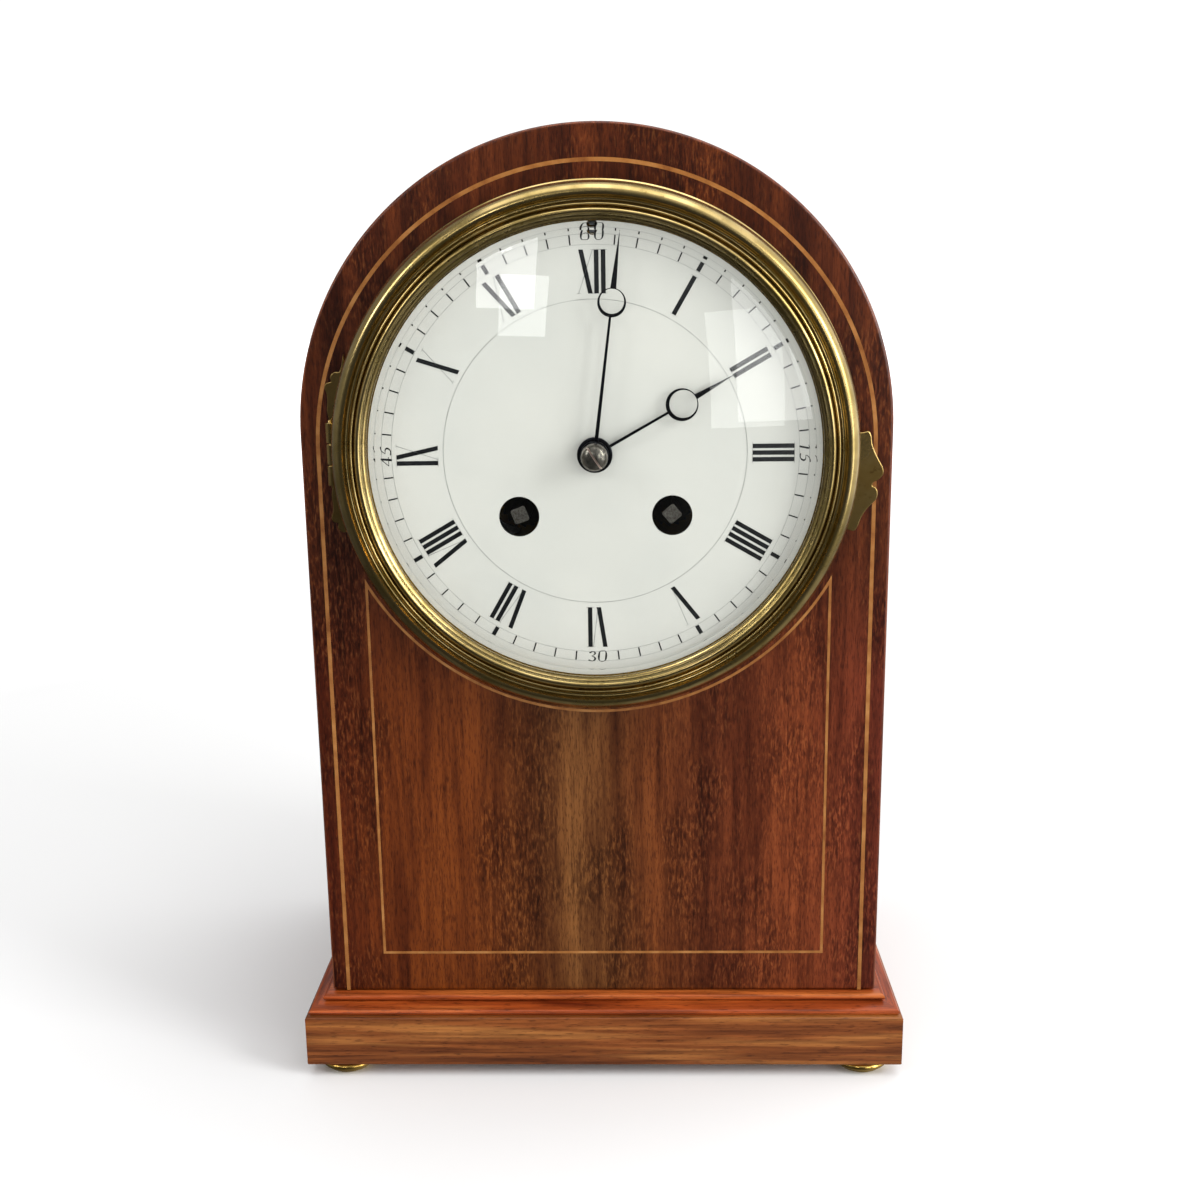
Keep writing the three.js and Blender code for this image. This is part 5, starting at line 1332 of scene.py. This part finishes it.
# The edge of the plate's upper half, as (radius in mm, degrees from nine o'clock)
HALF_PLATE = [
    (66.9, 3), (68.4, 4), (68.5, 7), (69.2, 9), (69.4, 11), (69.9, 12.6), (70.7, 13.6), (70.5, 14.7),
    (69.4, 15.2), (69.9, 16.2), (69.2, 17.3), (68.0, 17.7), (67.8, 18.9), (66.9, 19.2),
]
hinge_at = pin_place("bezel_hinge_pin")
plate_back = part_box("hinge_plate")[1].y
plate_front = plate_back - HINGE_SHEET
plate_edge = [(r, 180 - t) for r, t in HALF_PLATE[::-1]] + [(r, 180 + t) for r, t in HALF_PLATE]
hinge_parts = [flat_piece("scalloped_plate", smooth_line(about_dial(plate_edge), 3), plate_front,
                          plate_back)]
for heights in FIXED_KNUCKLES:
    hinge_parts.append(knuckle(hinge_at, *heights))
    hinge_parts.append(leaf((hinge_at[0] - KNUCKLE, hinge_at[0] - 0.4 * MM),
                            (hinge_at[1], plate_front + 0.4 * MM), *heights))
merged(hinge_parts, "scalloped_hinge_plate")
settle(ornament_brass, "case", ["hinge_plate"], bevel=0.2, smooth=45, bevel_angle=60)
hinge_pin("front_hinge_wire", "bezel_hinge_pin")

merged([knuckle(hinge_at, *MOVING_KNUCKLE),
        leaf((hinge_at[0] + 0.2 * MM, -BEZEL + 1.4 * MM),
             (hinge_at[1] - 0.9 * MM, hinge_at[1] + 0.9 * MM), *MOVING_KNUCKLE)], "bezel_knuckle")
settle(ornament_brass, "bezel", smooth=40)


# ---- rear ring ----------------------------------------------------------------------------
# A second spun ring lies in the hole of the back board. Two lugs inside take the strap screws,
# and two knuckles at its right carry the rear door.

rear_ring_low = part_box("rear_ring")[0]
rear_hinge_at = pin_place("rear_hinge_pin")
REAR_SHEET = 1.2 * MM
REAR_FLANGE = -rear_ring_low.x
REAR_TUBE = REAR_FLANGE - 6.5 * MM
LUG_HALF = 4 * MM
LUG_HOLE = 1.3 * MM
flange_at = back_high.y + 0.3 * MM
ring_pieces = [lathe_piece("spun_ring", [
    (REAR_TUBE - 1 * MM, rear_ring_low.y), (REAR_TUBE, rear_ring_low.y), (REAR_TUBE, flange_at),
    (REAR_FLANGE - 0.3 * MM, flange_at), (REAR_FLANGE, flange_at + 0.3 * MM),
    (REAR_FLANGE, flange_at + 0.8 * MM), (REAR_FLANGE - 0.4 * MM, flange_at + REAR_SHEET),
    (REAR_TUBE + 0.2 * MM, flange_at + REAR_SHEET), (REAR_TUBE - 0.6 * MM, flange_at + 0.9 * MM),
    (REAR_TUBE - 1 * MM, flange_at + 0.3 * MM), (REAR_TUBE - 1 * MM, rear_ring_low.y),
], ring_centre, 192)]
lug_near = back_low.y + 4 * MM
for side in (-1, 1):
    screw_x = middle("strap_screw_right")[0] * side
    lug_end = side * (REAR_TUBE - 0.6 * MM)
    lug = [(lug_end, DIAL_Z + LUG_HALF),
           *quarter((screw_x, DIAL_Z), (3 * MM * side, LUG_HALF), 90, 270, 12),
           (lug_end, DIAL_Z - LUG_HALF)]
    wire("lug", [(x, lug_near, z) for x, z in lug + lug[:1]])
    cut_out(ring_of(LUG_HOLE, (screw_x, DIAL_Z), lug_near, 24))
    sheet_between(lug_near, lug_near + REAR_SHEET)
    ring_pieces.append(laid_down())
for heights in FIXED_KNUCKLES:
    ring_pieces.append(knuckle(rear_hinge_at, *heights))
    ring_pieces.append(leaf((REAR_FLANGE - 1 * MM, rear_hinge_at[0]),
                            (flange_at, flange_at + REAR_SHEET), *heights))
    ring_pieces.append(leaf((rear_hinge_at[0] + 0.2 * MM, rear_hinge_at[0] + KNUCKLE),
                            (flange_at, rear_hinge_at[1]), *heights))
merged(ring_pieces, "spun_rear_ring")
settle(spun_brass, "case", ["rear_ring"])
hinge_pin("rear_hinge_wire", "rear_hinge_pin")


# ---- rear door ----------------------------------------------------------------------------
# The rear door is spun from sheet brass: a flat rim with a bead, a slope, and a shallow raised
# middle with turned rings. It keeps dust out, and is opened to reach the pendulum.

rear_door_low, rear_door_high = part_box("rear_door")
DOOR = -rear_door_low.x
STEP = DOOR - 14 * MM
door_near = rear_door_low.y
door_far = rear_door_high.y
rim_far = door_near + REAR_SHEET
door = lathe_piece("spun_door", [
    (0, door_far), (8 * MM, door_far - 0.02 * MM),
    *quarter((9 * MM, door_far - 0.45 * MM), (0.6 * MM, 0.4 * MM), 180, 0, 6),
    (10 * MM, door_far - 0.1 * MM), (STEP - 4 * MM, door_far - 0.55 * MM),
    *quarter((STEP - 2.4 * MM, door_far - 0.85 * MM), (1.1 * MM, 0.55 * MM), 170, 0, 8),
    (STEP, door_far - 1.3 * MM), (STEP + 2 * MM, rim_far + 1.9 * MM), (STEP + 4 * MM, rim_far),
    (DOOR - 5.2 * MM, rim_far),
    *quarter((DOOR - 3.4 * MM, rim_far - 0.1 * MM), (1.3 * MM, 0.75 * MM), 172, 8, 10),
    (DOOR - 1.6 * MM, rim_far), (DOOR - 0.35 * MM, rim_far), (DOOR, rim_far - 0.35 * MM),
    (DOOR, door_near + 0.3 * MM), (DOOR - 0.3 * MM, door_near), (STEP + 3.4 * MM, door_near),
    (STEP - 0.6 * MM, door_far - 0.8 * MM - REAR_SHEET), (0, door_far - REAR_SHEET),
], ring_centre, 192)
merged([door, knuckle(rear_hinge_at, *MOVING_KNUCKLE),
        leaf((DOOR - 2 * MM, rear_hinge_at[0]), (door_near, rim_far), *MOVING_KNUCKLE)],
       "spun_rear_door")
door_brass = turned_brass("spun_brass_door", "cdab5c", "a3813f", 0.2, 0.6, ring_centre)
settle(door_brass, "rear_door", ["rear_door"])


# ---- studio -------------------------------------------------------------------------------
# A white paper sweep under the clock, softboxes on the right, on the left and overhead, a strip
# that lights the bezel's right side, and two small windows that show in the glass.

bpy.context.scene.view_settings.view_transform = "Standard"

bpy.ops.object.select_all(action="DESELECT")
bpy.ops.mesh.primitive_plane_add(size=8, location=(0, 0, 0))
sweep = bpy.context.object
sweep.name = "studio_sweep"
paper = plain_finish("white_paper", ((400, 400, 400), 2, 0.5), [(0.3, "ebebeb"), (0.7, "efefef")],
                     {"Roughness": 0.9, "Emission Color": (1, 1, 1, 1), "Specular IOR Level": 0.0})
# Far from the clock the paper glows, so that no horizon shows
away = add(paper, "ShaderNodeVectorMath", {"operation": "LENGTH"},
           {0: add(paper, "ShaderNodeTexCoord").outputs["Object"]})
lift = add(paper, "ShaderNodeMapRange", {"From Min": 0.45, "From Max": 1.4, "To Max": 0.9},
           {"Value": away.outputs["Value"]})
feed(paper, lift, "Emission Strength")
sweep.data.materials.append(paper)
sweep.visible_glossy = False
sweep.visible_transmission = False

# The room behind the camera is dark, and its right side and upper half are bright
room = bpy.context.scene.world or bpy.data.worlds.new("studio")
bpy.context.scene.world = room
room.use_nodes = True
heading = add(room, "ShaderNodeSeparateXYZ",
              links={0: add(room, "ShaderNodeTexCoord").outputs["Generated"]})
glow = None
for axis, edges, levels in (("Y", (-0.97, -0.45), (0.03, 0.5)), ("X", (-0.6, 0.7), (0.5, 2.95)),
                            ("Z", (-0.4, 0.05), (0.25, 1.0))):
    part = add(room, "ShaderNodeMapRange", {"From Min": edges[0], "From Max": edges[1],
                                            "To Min": levels[0], "To Max": levels[1]},
               {"Value": heading.outputs[axis]})
    glow = add(room, "ShaderNodeMath", {"operation": "MULTIPLY"}, {0: glow, 1: part}) if glow else part
# The camera itself sees a plain white room, a little brighter than the paper
seen = add(room, "ShaderNodeMix", {"data_type": "FLOAT", 3: 1.1},
           {0: add(room, "ShaderNodeLightPath").outputs["Is Camera Ray"], 2: glow})
background = room.node_tree.nodes["Background"]
background.inputs["Color"].default_value = (1, 1, 1, 1)
link(room, seen, background.inputs["Strength"])


def softbox(name, place, target, size, power):
    """A rectangular light that faces the given point."""
    light = bpy.data.lights.new(name, "AREA")
    light.shape = "RECTANGLE"
    light.size, light.size_y = size
    light.energy = power
    lamp = bpy.data.objects.new(name, light)
    lamp.location = place
    lamp.rotation_euler = (Vector(target) - Vector(place)).to_track_quat("-Z", "Y").to_euler()
    bpy.context.collection.objects.link(lamp)


softbox("key_from_right", (1.15, -0.6, 0.7), (0, 0, 0.13), (0.5, 0.7), 11)
softbox("fill_from_left", (-1.1, -0.8, 0.9), (0, 0, 0.13), (0.4, 0.6), 4.4)
softbox("top", (0, -0.1, 1.4), (0, 0, 0.1), (1.3, 1.0), 6.8)
softbox("strip_on_the_right", (1.25, -0.95, 0.2), (0, 0, 0.17), (0.35, 0.9), 3)
softbox("window_on_the_right", (0.68, -1.27, 0.4), (0, 0, 0.2), (0.37, 0.55), 1.9)
softbox("window_on_the_left", (-0.36, -1.32, 0.71), (0, 0, 0.2), (0.23, 0.29), 1.1)

# The camera as fitted to the photograph: lengths on the picture are in its own pixels
FOCAL = 1445.487
FRAME_SIDE = 1200
PICTURE_CENTRE = (594.509, 600.815)
SENSOR = 36
EYE = (8.868 * MM, -416.878 * MM, 221.576 * MM)
YAW, PITCH, ROLL = -0.026205, -0.230692, -0.013775
ahead = Vector((math.sin(YAW) * math.cos(PITCH), math.cos(YAW) * math.cos(PITCH), math.sin(PITCH)))
level = Vector((math.cos(YAW), -math.sin(YAW), 0))
over = level.cross(ahead)
right = math.cos(ROLL) * level + math.sin(ROLL) * over
up = math.cos(ROLL) * over - math.sin(ROLL) * level
lens = bpy.data.cameras.new("camera")
lens.sensor_width = SENSOR
lens.lens = FOCAL * SENSOR / FRAME_SIDE
lens.shift_x = (FRAME_SIDE / 2 - PICTURE_CENTRE[0]) / FRAME_SIDE
lens.shift_y = (PICTURE_CENTRE[1] - FRAME_SIDE / 2) / FRAME_SIDE
lens.clip_start = 0.01
camera = bpy.data.objects.new("camera", lens)
turned = Matrix((right, up, -ahead)).transposed().to_4x4()
camera.matrix_world = Matrix.Translation(EYE) @ turned
bpy.context.collection.objects.link(camera)
bpy.context.scene.camera = camera
